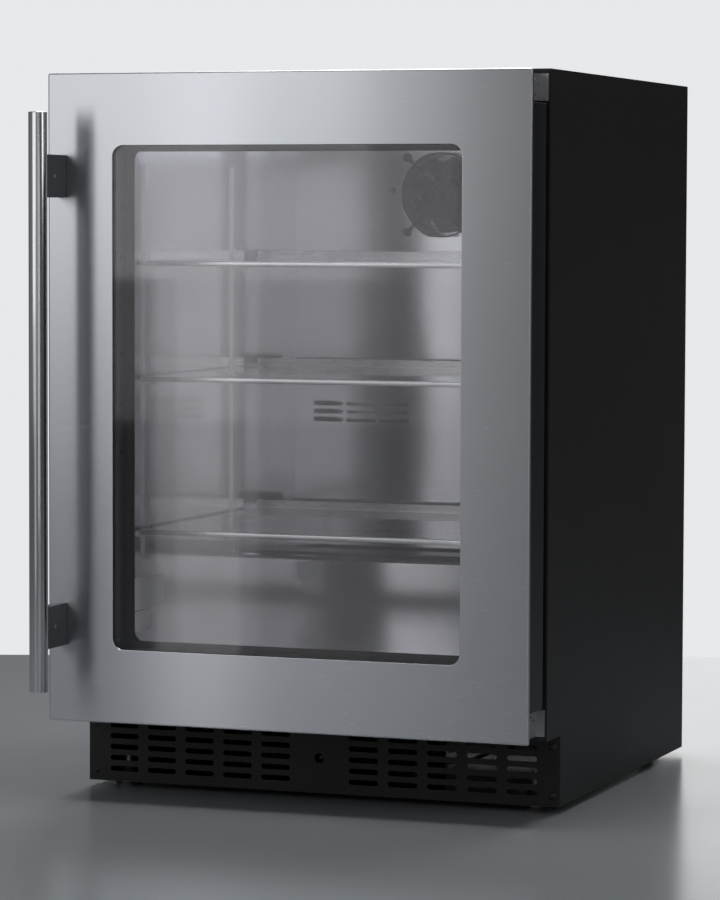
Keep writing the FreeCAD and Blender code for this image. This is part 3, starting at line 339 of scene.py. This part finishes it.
def brushed(name, colour, rough, way, contrast=0.10, lines=2600.0, depth=0.00002, spread=0.0,
            metal=1.0, wave=0.0):
    """Steel brushed along one axis: fine lines vary roughness, colour and height.
    spread draws a reflection out across the lines; wave, in metres, is a thin sheet's unevenness."""
    f = Finish(name, metallic=metal, anisotropic=spread, anisotropic_rotation=0.25)
    fine = f.noise(lines, GRAIN[way], 2.0)
    broad = f.noise(9.0, tuple(0.25 if s < 1 else 1.0 for s in GRAIN[way]), 3.0)
    mixed = fine * 0.8 + broad * 0.2
    dark = tuple(c * (1.0 - contrast) for c in colour)
    light = tuple(min(1.0, c * (1.0 + contrast)) for c in colour)
    f.set(base_color=f.blend(mixed, dark, light))
    f.set(roughness=wear(rough - 0.06, rough + 0.06, mixed))
    if wave:
        f.bump(f.noise(5.0, detail=1.0), wave, 1.0)
    else:
        f.bump(fine, depth, 0.5)
    return f.material


def painted(name, colour, rough, peel=0.00006, scale=900.0, sheen=0.0):
    """Satin paint on sheet: fine orange peel and faint cloudiness."""
    f = Finish(name, metallic=0.0, coat_weight=sheen, specular_ior_level=0.5)
    peel_noise = f.noise(scale, detail=2.0)
    cloud = f.noise(5.0, detail=4.0)
    f.set(base_color=f.blend(cloud, tuple(c * 0.85 for c in colour), tuple(c * 1.2 for c in colour)))
    f.set(roughness=wear(rough - 0.05, rough + 0.07, cloud) + (peel_noise - 0.5) * 0.06)
    f.bump(peel_noise, peel, 0.6)
    return f.material


def cast_metal(name, colour, rough, spangle=60.0):
    """Zinc plate or bare aluminium: flat crystals of slightly different tone."""
    f = Finish(name, metallic=1.0)
    cells = f.node("ShaderNodeTexVoronoi", {}, {"Vector": f.place(), "Scale": spangle}, output=1)
    grey = f.node("ShaderNodeRGBToBW", {}, (cells,))
    f.set(base_color=f.blend(grey, tuple(c * 0.82 for c in colour), colour))
    f.set(roughness=wear(rough - 0.08, rough + 0.10, grey))
    return f.material


# %% [markdown]
# ## Plastics, rubber, foam and glass
# Moulded plastic has a fine stipple and hardly any colour change; rubber is rougher and duller. Glass
# could be a true refracting solid, but then the cold room behind two panes would stay dark and noisy.
# A clear shader mixed with a mirror by the Fresnel law lets the light straight through instead.

# %% Plastics, rubber, foam and glass
def moulded(name, colour, rough, stipple=0.00003, scale=1800.0):
    """Moulded plastic or rubber with a fine stipple and faint flow marks."""
    f = Finish(name, metallic=0.0)
    grain = f.noise(scale, detail=2.0)
    flow = f.noise(14.0, (1.0, 1.0, 0.3), 4.0)
    dark = tuple(c * 0.88 for c in colour)
    light = tuple(min(1.0, c * 1.12) for c in colour)
    f.set(base_color=f.blend(flow, dark, light))
    f.set(roughness=wear(rough - 0.05, rough + 0.06, flow) + (grain - 0.5) * 0.08)
    f.bump(grain, stipple, 0.7)
    return f.material


def foam(name, colour):
    """Poured insulation: closed bubbles of many sizes."""
    f = Finish(name, metallic=0.0)
    bubbles = f.node("ShaderNodeTexVoronoi", {"feature": "F1"}, {"Vector": f.place(), "Scale": 420.0})
    tone = f.noise(12.0, detail=4.0)
    f.set(base_color=f.blend(tone, tuple(c * 0.85 for c in colour), colour))
    f.set(roughness=wear(0.8, 0.95, tone))
    f.bump(bubbles, 0.0005, 0.6)
    return f.material


def clear_glass(name, tint, haze, ior=1.5):
    """A pane: clear where it faces the eye, mirror-like where it is seen aslant, with a faint haze."""
    f = Finish(name, base_color=(0.86, 0.86, 0.89), metallic=1.0)
    smear = f.noise(7.0, detail=4.0)
    f.set(roughness=wear(0.03, 0.07, smear))
    see_through = f.node("ShaderNodeBsdfTransparent", {}, {"Color": tint})
    edge_on = f.node("ShaderNodeFresnel", {}, {"IOR": ior})
    amount = edge_on + smear * haze * 0.5 + haze * 0.75
    mixed = f.node("ShaderNodeMixShader", {}, {0: amount, 1: see_through,
                                               2: Val(f, f.shader.outputs[0])})
    f.feed(f.tree.nodes["Material Output"].inputs["Surface"], mixed)
    return f.material


def glowing(name, colour, power):
    """The frosted cover of a lamp."""
    f = Finish(name, base_color=colour, roughness=0.4, emission_strength=power)
    cloud = f.noise(30.0)
    f.set(emission_color=f.blend(cloud, tuple(c * 0.95 for c in colour), colour))
    return f.material


# %% [markdown]
# ## Which part has which finish
# The record names a material slot for every CAD part. Each slot gets one finish here.

# %% Finishes by slot
finish = {
    "cabinet_paint": painted("cabinet_paint", (0.0075, 0.0075, 0.0085), 0.46),
    "galvanised_sheet": cast_metal("galvanised_sheet", (0.50, 0.51, 0.52), 0.38),
    "grille_paint": painted("grille_paint", (0.003, 0.003, 0.0033), 0.52),
    "insulation_foam": foam("insulation_foam", (0.80, 0.72, 0.45)),
    "liner_steel": brushed("liner_steel", (0.72, 0.72, 0.75), 0.13, "x", 0.05, 1800.0,
                           0.0, 0.0, 0.82, 0.0016),
    # The chassis sheet behind the grille (base pan, machine divider) is near-black in place of bare sheet.
    # This is painted shade that keeps the machine space seen through the grille slots dark.
    "chassis_paint": painted("chassis_paint", (0.008, 0.008, 0.0085), 0.45),
    "guard_wire": painted("guard_wire", (0.010, 0.010, 0.011), 0.38),
    "coil_fins": cast_metal("coil_fins", (0.75, 0.76, 0.78), 0.32, 90.0),
    "motor_case": painted("motor_case", (0.05, 0.05, 0.055), 0.45),
    "fan_plastic": moulded("fan_plastic", (0.022, 0.022, 0.024), 0.42),
    "compressor_paint": painted("compressor_paint", (0.010, 0.010, 0.011), 0.28, 0.00015, 400.0),
    "mount_rubber": moulded("mount_rubber", (0.018, 0.018, 0.018), 0.75),
    "copper_tube": brushed("copper_tube", (0.72, 0.36, 0.22), 0.30, "y", 0.10, 900.0),
    "white_plastic": moulded("white_plastic", (0.72, 0.72, 0.70), 0.35),
    "light_lens": glowing("light_lens", (0.93, 0.96, 1.0), 4.0),
    "black_plastic": moulded("black_plastic", (0.008, 0.008, 0.009), 0.38),
    "shelf_glass": clear_glass("shelf_glass", (0.90, 0.93, 0.93), 0.06),
    "shelf_trim": brushed("shelf_trim", (0.95, 0.95, 0.96), 0.28, "x", 0.04, depth=0.00001,
                          metal=0.85),
    "support_steel": brushed("support_steel", (0.66, 0.66, 0.69), 0.24, "z", 0.06, depth=0.00001,
                             metal=0.82),
    "black_screw": painted("black_screw", (0.012, 0.012, 0.013), 0.30),
    "hinge_steel": brushed("hinge_steel", (0.46, 0.46, 0.48), 0.40, "z", 0.08, 1200.0, 0.00001),
    "pin_steel": brushed("pin_steel", (0.55, 0.55, 0.56), 0.28, "z"),
    "foot_steel": cast_metal("foot_steel", (0.50, 0.50, 0.51), 0.40, 200.0),
    "door_steel": brushed("door_steel", (0.57, 0.59, 0.625), 0.25, "x", 0.08, 2600.0, 0.00001, 0.9),
    "door_body_plastic": moulded("door_body_plastic", (0.016, 0.017, 0.019), 0.45),
    "jamb_plastic": moulded("jamb_plastic", (0.006, 0.006, 0.0065), 0.30, 0.00001),
    "door_glass": clear_glass("door_glass", (0.985, 0.985, 0.99), 0.014, 1.5),
    "retainer_plastic": moulded("retainer_plastic", (0.012, 0.012, 0.013), 0.40),
    "gasket_rubber": moulded("gasket_rubber", (0.010, 0.010, 0.011), 0.62),
    "handle_bar_steel": brushed("handle_bar_steel", (0.60, 0.61, 0.63), 0.15, "z", 0.05,
                                depth=0.000005),
    "handle_bracket_steel": brushed("handle_bracket_steel", (0.10, 0.10, 0.11), 0.34, "y", 0.12),
    "set_screw": cast_metal("set_screw", (0.50, 0.50, 0.51), 0.35, 400.0),
}
for entry in frame["record"]["subparts"]:
    mesh = nodes[entry["node"]].data
    mesh.materials.clear()
    mesh.materials.append(finish[entry["material_slot"]])
print(len(finish), "finishes")

studio_floor = Finish("studio_floor", base_color=(0.25, 0.27, 0.285), roughness=0.2)
studio_floor.set(roughness=wear(0.17, 0.25, studio_floor.noise(3.0)))
floor.data.materials.append(studio_floor.material)

# %% [markdown]
# ## Making a mesh from arrays
# Every new piece below is a list of rings: closed loops of points, all with the same number of points.
# Joining each ring to the next gives the skin, and either the last ring joins the first again or both
# ends get a flat cap. The normals are worked out once more at the end, so that they face outwards.

# %% Mesh helpers
def loft(rings, closed=False):
    """Skin a stack of rings, shape (m, n, 3): quads between neighbours, then caps or a join."""
    m, n = rings.shape[:2]
    index = np.arange(m * n).reshape(m, n)
    low, high = (index, np.roll(index, -1, axis=0)) if closed else (index[:-1], index[1:])
    quads = np.stack([low, np.roll(low, -1, 1), np.roll(high, -1, 1), high], -1).reshape(-1, 4)
    caps = [] if closed else [index[0][::-1].tolist(), index[-1].tolist()]
    return rings.reshape(-1, 3), quads.tolist() + caps


def joined(parts):
    """Several (points, faces) pairs as one."""
    points, faces, count = [], [], 0
    for part_points, part_faces in parts:
        points.append(part_points)
        faces += [[i + count for i in face] for face in part_faces]
        count += len(part_points)
    return np.concatenate(points), faces


def piece(name, solid, slot, body, replaced=(), sharp=32.0):
    """A finished piece: smooth but for edges over the sharp angle, riding on a body."""
    points, faces = solid
    mesh = bpy.data.meshes.new(name)
    mesh.from_pydata(points.tolist(), [], faces)
    work = bmesh.new()
    work.from_mesh(mesh)
    bmesh.ops.remove_doubles(work, verts=work.verts, dist=1e-6)
    bmesh.ops.recalc_face_normals(work, faces=work.faces)
    work.to_mesh(mesh)
    work.free()
    mesh.shade_smooth()
    mesh.set_sharp_from_angle(angle=math.radians(sharp))
    mesh.materials.append(finish[slot])
    obj = bpy.data.objects.new(name, mesh)
    bpy.context.scene.collection.objects.link(obj)
    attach(obj, body)
    if replaced:
        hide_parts(*replaced)
    print(name, len(mesh.polygons), "faces")
    return obj


def corners(node):
    """Lowest and highest corner of a CAD part as arrays."""
    return [np.array(c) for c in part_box(node)]


def pane_ring(half_w, low, high, radius, y, steps=9):
    """Once round an upright rectangle with rounded corners: four quarter circles of one radius,
    each centred a radius in from its corner, at depth y."""
    radius = max(radius, 1e-4)
    turn = np.linspace(0, math.pi / 2, steps)[None, :] + np.arange(4)[:, None] * math.pi / 2
    cx = np.array([1, -1, -1, 1])[:, None] * (half_w - radius)
    cz = np.array([high - radius, high - radius, low + radius, low + radius])[:, None]
    x = cx + radius * np.cos(turn)
    z = cz + radius * np.sin(turn)
    return np.stack([x, np.full_like(x, y), z], -1).reshape(-1, 3)


def turned(profile, centre, along_axis="z", sides=64):
    """A lathe shape: rows of (radius, height) carried round an axis through centre.
    Point = centre + (r cos t, r sin t) across the axis and h along it."""
    profile = np.array(profile, float)
    t = np.linspace(0, 2 * math.pi, sides, endpoint=False)
    r = np.maximum(profile[:, 0], 1e-6)[:, None]
    across_a, across_b = r * np.cos(t), r * np.sin(t)
    height = np.repeat(profile[:, 1][:, None], sides, 1)
    order = {"z": (across_a, across_b, height), "y": (across_a, height, across_b),
             "x": (height, across_a, across_b)}[along_axis]
    return loft(np.stack(order, -1) + np.array(centre))


def bar_along_x(outline, x0, x1):
    """A flat outline of (y, z) rows drawn out straight from x0 to x1."""
    outline = np.array(outline, float)
    rings = [np.column_stack([np.full(len(outline), x), outline]) for x in (x0, x1)]
    return loft(np.array(rings))


def round_block(low, high, radius, cuts=10):
    """A box with rounded edges: each point s of a cut-up box moves to q + radius * (s - q) / |s - q|,
    where q is s drawn in to the box that is one radius smaller on every side."""
    low, high = np.array(low, float), np.array(high, float)
    t = np.linspace(0, math.pi / 2, cuts // 2 + 1)
    soft = radius * (1 - np.cos(t))
    steps = [np.unique(np.round(np.concatenate([l + soft, h - soft]), 8)) for l, h in zip(low, high)]
    parts = []
    for axis in range(3):
        a, b = [k for k in range(3) if k != axis]
        grid_a, grid_b = np.meshgrid(steps[a], steps[b], indexing="ij")
        for side in (low[axis], high[axis]):
            points = np.empty(grid_a.shape + (3,))
            points[..., axis], points[..., a], points[..., b] = side, grid_a, grid_b
            core = np.clip(points, low + radius, high - radius)
            away = points - core
            length = np.maximum(np.linalg.norm(away, axis=-1, keepdims=True), 1e-9)
            index = np.arange(grid_a.size).reshape(grid_a.shape)
            quads = np.stack([index[:-1, :-1], index[1:, :-1], index[1:, 1:], index[:-1, 1:]], -1)
            skin = core + away / length * radius
            parts.append((skin.reshape(-1, 3), quads.reshape(-1, 4).tolist()))
    return joined(parts)


# %% [markdown]
# ## Door skin
# The steel is folded round the door's edge and cut out for the window. Its edges are never knife-sharp:
# a fold has a small radius and a cut edge is broken. Those narrow rounds catch the light as a thin bright
# line, so the skin is carried round the door as a profile of rings, with a quarter circle at each edge.

# %% Door skin
FOLD = 0.0020
BROKEN_EDGE = 0.0007
FLAT_MARGIN = 0.0003
SHEET = 0.0012
WINDOW_RADIUS = 0.013

skin_low, skin_high = corners("door_skin")
pane_low, pane_high = corners("outer_pane")
PANE_COVER = 0.009
window_half = pane_high[0] - PANE_COVER
window_low, window_high = pane_low[2] + PANE_COVER, pane_high[2] - PANE_COVER
front, fold_end = skin_low[1], skin_high[1]


def door_ring(inset, y):
    """A ring round the outside of the door, drawn in by an inset."""
    return pane_ring(skin_high[0] - inset, skin_low[2] + inset, skin_high[2] - inset,
                     max(0.0025 - inset, 0.0004), y)


def window_ring(spread, y, radius=WINDOW_RADIUS):
    """A ring round the window, spread outwards onto the steel."""
    return pane_ring(window_half + spread, window_low - spread, window_high + spread,
                     radius + spread, y)


arc = np.linspace(0, math.pi / 2, 6)
rings = [door_ring(0.0, fold_end)]
rings += [door_ring(FOLD * (1 - math.cos(a)), front + FOLD * (1 - math.sin(a))) for a in arc]
rings += [door_ring(FOLD + FLAT_MARGIN, front), window_ring(BROKEN_EDGE + FLAT_MARGIN, front)]
rings += [window_ring(BROKEN_EDGE * (1 - math.sin(a)), front + BROKEN_EDGE * (1 - math.cos(a)))
          for a in arc]
rings += [window_ring(0.0, front + SHEET), door_ring(FOLD, front + SHEET),
          door_ring(SHEET, front + FOLD), door_ring(SHEET, fold_end)]
piece("door_skin_sheet", loft(np.array(rings), closed=True), "door_steel", "door", ("door_skin",))

# %% [markdown]
# ## Glazing bead and gasket
# The bead that holds the inner pane has a soft front corner. The gasket is a bellows: its two walls fold
# in and out once between the door and the cabinet, so that it can be squeezed.

# %% Bead and gasket
bead_low, bead_high = corners("glass_bead")
BEAD_WIDTH = 0.0065
BEAD_ROUND = 0.0018
JAMB_WALL = 0.0026
bead_rings = [window_ring(JAMB_WALL, bead_high[1]), window_ring(JAMB_WALL, bead_low[1])]
bead_rings += [window_ring(-BEAD_WIDTH + BEAD_ROUND * (1 - math.sin(a)),
                           bead_low[1] + BEAD_ROUND * (1 - math.cos(a))) for a in arc]
bead_rings += [window_ring(-BEAD_WIDTH, bead_high[1])]
piece("glazing_bead", loft(np.array(bead_rings), closed=True), "black_plastic", "door", ("glass_bead",))

gasket_low, gasket_high = corners("door_gasket")
GASKET_WIDTH = 0.014
GASKET_FOLD = 0.0028


def gasket_ring(inset, y):
    """A ring of the gasket, drawn in from its outer edge."""
    return pane_ring(gasket_high[0] - inset, gasket_low[2] + inset, gasket_high[2] - inset,
                     max(0.004 - inset, 0.0005), y)


depth = np.linspace(0, 1, 17)
wave = GASKET_FOLD * (0.5 - 0.5 * np.cos(4 * math.pi * depth))
levels = gasket_low[1] + depth * (gasket_high[1] - gasket_low[1])
outer = [gasket_ring(w, y) for w, y in zip(wave, levels)]
inner = [gasket_ring(GASKET_WIDTH - w, y) for w, y in zip(wave, levels)][::-1]
piece("bellows_gasket", loft(np.array(outer + inner), closed=True), "gasket_rubber", "door",
      ("door_gasket",))

# %% [markdown]
# ## Handle
# The bar is turned, so it is a lathe shape with a small round at each end. Each bracket is a flat block
# with eased edges, hollowed where it meets the bar: points that would lie inside the bar are moved
# straight back to its surface.

# %% Handle
bar_low, bar_high = corners("handle_bar")
bar_radius = (bar_high[0] - bar_low[0]) / 2
bar_centre = (bar_low + bar_high) / 2
END_ROUND = 0.0012
ease = [(bar_radius - END_ROUND * (1 - math.cos(a)), END_ROUND * (1 - math.sin(a))) for a in arc]
bar_profile = [(r, bar_low[2] + h) for r, h in ease[::-1]] + [(r, bar_high[2] - h) for r, h in ease]
piece("handle_tube", turned(bar_profile, (bar_centre[0], bar_centre[1], 0), "z", 96),
      "handle_bar_steel", "door", ("handle_bar",))

for place in ("lower", "upper"):
    low, high = corners(f"handle_bracket_{place}")
    low[1] = bar_centre[1]
    points, faces = round_block(low, high, 0.0009, 8)
    across = points[:, 0] - bar_centre[0]
    saddle = bar_centre[1] + np.sqrt(np.maximum(bar_radius ** 2 - across ** 2, 0))
    inside = points[:, 1] < saddle
    points[inside, 1] = saddle[inside]
    piece(f"handle_arm_{place}", (points, faces), "handle_bracket_steel", "door",
          (f"handle_bracket_{place}",))

# Each bracket is held by a socket screw in its side face: a short plug with a round socket.
screw_low, screw_high = corners("handle_set_screws")
SCREW_RADIUS = 0.0024
SOCKET_RADIUS = 0.0012
socket_profile = [(0.0, -0.0040), (SCREW_RADIUS, -0.0040), (SCREW_RADIUS, 0.0001),
                  (SCREW_RADIUS - 0.0003, 0.0004), (SOCKET_RADIUS, 0.0004), (SOCKET_RADIUS, -0.0010),
                  (0.0, -0.0010)]
handle_screws = []
for place in ("lower", "upper"):
    low, high = corners(f"handle_bracket_{place}")
    seat = (high[0], (screw_low[1] + screw_high[1]) / 2, (low[2] + high[2]) / 2)
    handle_screws.append(turned(socket_profile, seat, "x", 28))
piece("handle_socket_screws", joined(handle_screws), "set_screw", "door", ("handle_set_screws",))

# %% [markdown]
# ## Fans
# A moulded fan blade is a thin aerofoil that is set steeper at the hub than at the tip and sweeps forward.
# Its outline is an oval of chord by thickness, bent by a camber, turned by the pitch and wrapped round the
# axis. The hub is a lathe shape with a domed nose and a bore for the shaft.

# %% Fans
HUB_DOME = 0.0022
BLADE_THICKNESS = 0.0016
BLADE_ROOT = 0.0012


def blade(centre, depth, hub, tip, chord, pitch_hub, pitch_tip, sweep, start, stations=12, around=22):
    """One blade as rings at growing radius r. With v going from -1 to 1 along the chord, a ring lies at
    angle start + sweep * u^2 + v * chord * cos(pitch) / 2r and depth v * chord * sin(pitch) / 2."""
    u = np.linspace(0, 1, stations)[:, None]
    loop = np.linspace(0, 2 * math.pi, around, endpoint=False)[None, :]
    v = np.cos(loop)
    thickness = BLADE_THICKNESS * (1 - 0.55 * u)
    radius = hub - BLADE_ROOT + u * (tip - hub + BLADE_ROOT)
    width = chord * (0.80 + 0.35 * u - 0.25 * u ** 4)
    pitch = np.radians(pitch_hub + (pitch_tip - pitch_hub) * u)
    lift = 0.10 * width * (1 - v ** 2) + thickness / 2 * np.sin(loop)
    ahead = v * width / 2 * np.cos(pitch) - lift * np.sin(pitch)
    back = v * width / 2 * np.sin(pitch) + lift * np.cos(pitch)
    limit = depth / 2 - 0.0003
    back = np.clip(back, -limit, limit)
    angle = start + sweep * u ** 2 + ahead / radius
    rings = np.stack([radius * np.cos(angle), back, radius * np.sin(angle)], -1)
    return loft(rings + np.array(centre))


def fan(name, node, shaft_radius, body, blades, hub, chord, pitches):
    """A fan in place of a CAD rotor: hub, blades, bore."""
    low, high = corners(node)
    centre = (low + high) / 2
    centre[0] = 0.0
    depth = high[1] - low[1]
    tip = (high[2] - low[2]) / 2
    half = depth / 2
    nose = [(hub * math.sin(a), -half + HUB_DOME * (1 - math.cos(a)))
            for a in np.linspace(0, math.pi / 2, 8)]
    profile = nose + [(hub, half - 0.0004), (hub - 0.0004, half), (shaft_radius, half),
                      (shaft_radius, -half + 0.0026), (0.0, -half + 0.0026)]
    parts = [turned(profile, centre, "y", 48)]
    parts += [blade(centre, depth, hub, tip - 0.0002, chord, pitches[0], pitches[1], 0.35,
                    2 * math.pi * i / blades) for i in range(blades)]
    return piece(name, joined(parts), "fan_plastic", body, (node,), 40.0)


SHAFT = 0.00258
fan("evaporator_fan", "evaporator_fan_rotor", SHAFT, "evaporator_fan", 7, 0.016, 0.030, (40, 20))
fan("condenser_fan", "condenser_fan_rotor", SHAFT, "condenser_fan", 5, 0.012, 0.026, (42, 22))

# %% [markdown]
# ## Shelf trims
# The glass shelves are held along their front and rear edges by thin bright channels. The outline of the
# channel is a C with a rounded nose, drawn out along the shelf; the rear one also stands up as a stop.

# %% Shelf trims
TRIM_LIP = 0.0007
TRIM_REACH = 0.007
GLASS_GAP = 0.00002
REAR_STOP = 0.010
trim_low, trim_high = corners("shelf_trims")


def channel(edge, inward, low, high, stop):
    """Outline of a trim as (y, z): out along the top lip, round the nose, back along the bottom lip."""
    nose = np.linspace(math.pi / 2, -math.pi / 2, 9)
    middle, half = (low + high) / 2, (high - low) / 2 + TRIM_LIP
    rounding = 0.0011
    outline = [(edge + inward * TRIM_REACH, middle + half)]
    if stop:
        outline += [(edge, middle + half), (edge, high + stop), (edge - inward * 0.0011, high + stop)]
        outline += [(edge - inward * 0.0011, middle - half)]
    else:
        outline += [(edge - inward * rounding * math.cos(a), middle + half * math.sin(a)) for a in nose]
    tail = edge + inward * TRIM_REACH
    throat = edge - inward * GLASS_GAP
    outline += [(tail, middle - half), (tail, low - GLASS_GAP), (throat, low - GLASS_GAP),
                (throat, high + GLASS_GAP), (tail, high + GLASS_GAP)]
    return outline


trims = []
for place in ("lower", "middle", "upper"):
    low, high = corners(f"shelf_{place}")
    trims.append(bar_along_x(channel(low[1], 1, low[2], high[2], 0.0), trim_low[0], trim_high[0]))
    trims.append(bar_along_x(channel(high[1], -1, low[2], high[2], REAR_STOP), trim_low[0], trim_high[0]))
piece("shelf_edge_channels", joined(trims), "shelf_trim", "cabinet", ("shelf_trims",))

# %% [markdown]
# ## Eased sheet metal
# The large CAD parts are right as they are, but their edges are perfectly sharp, which no folded or
# painted sheet is. Each gets a copy, merged and cleaned of flat seams, with a fine live bevel. Only parts
# that are seen get one.

# %% Eased sheet metal
def eased(node, width, body, segments=2):
    """A copy of a CAD part with every sharp edge eased by a bevel of the given width."""
    source = nodes[node]
    mesh = source.data.copy()
    work = bmesh.new()
    work.from_mesh(mesh)
    bmesh.ops.remove_doubles(work, verts=work.verts, dist=1e-6)
    bmesh.ops.dissolve_limit(work, angle_limit=math.radians(1.0), verts=work.verts, edges=work.edges)
    work.to_mesh(mesh)
    work.free()
    mesh.shade_smooth()
    mesh.set_sharp_from_angle(angle=math.radians(32))
    obj = bpy.data.objects.new(node + "_eased", mesh)
    bpy.context.scene.collection.objects.link(obj)
    soft = obj.modifiers.new("eased", "BEVEL")
    soft.width = width
    soft.segments = segments
    soft.limit_method = "ANGLE"
    soft.angle_limit = math.radians(40)
    soft.harden_normals = True
    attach(obj, body)
    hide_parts(node)
    return obj


for node, width in (("side_panel_left", 0.0005), ("side_panel_right", 0.0005), ("top_panel", 0.0005),
                    ("front_frame", 0.0004), ("control_box", 0.0012), ("base_pan", 0.0004),
                    ("hinge_bracket_top", 0.0005), ("hinge_bracket_bottom", 0.0005),
                    ("compressor_step", 0.0003), ("evaporator_cover", 0.00025)):
    eased(node, width, "cabinet")
for node, width in (("door_frame", 0.0008), ("window_jamb", 0.0003), ("door_liner", 0.0012)):
    eased(node, width, "door")

# %% [markdown]
# ## Small things
# Two blank stickers sit low on the left wall of the cold room. The rear edge of the cabinet has a row of
# small round-headed screws that hold the back sheet.

# %% Stickers and back screws
wall = corners("liner_left")[1][0]
stickers = [round_block((wall + 0.00002, y0, z0), (wall + 0.00042, y1, z1), 0.00018, 4)
            for y0, y1, z0, z1 in ((-0.151, -0.045, 0.212, 0.252), (-0.150, -0.084, 0.187, 0.210))]
piece("blank_stickers", joined(stickers), "white_plastic", "cabinet")

back_low, back_high = corners("back_panel")
HEAD_RADIUS = 0.0042
HEAD_HEIGHT = 0.0021
SCREW_INSET = 0.022
head = [(HEAD_RADIUS * math.cos(a), HEAD_HEIGHT * math.sin(a)) for a in np.linspace(0, math.pi / 2, 7)]
spots = [(x, z) for z in np.linspace(back_low[2] + 0.04, back_high[2] - SCREW_INSET, 7)
         for x in (back_low[0] + SCREW_INSET, back_high[0] - SCREW_INSET)]
spots += [(x, back_high[2] - SCREW_INSET) for x in (-0.14, 0.0, 0.14)]
screws = [turned([(0.0, 0.00002)] + [(r, 0.00002 + h) for r, h in head], (x, back_high[1], z), "y", 20)
          for x, z in spots]
piece("back_panel_screws", joined(screws), "black_screw", "cabinet")

# %% Sizes and the last line
low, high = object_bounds()
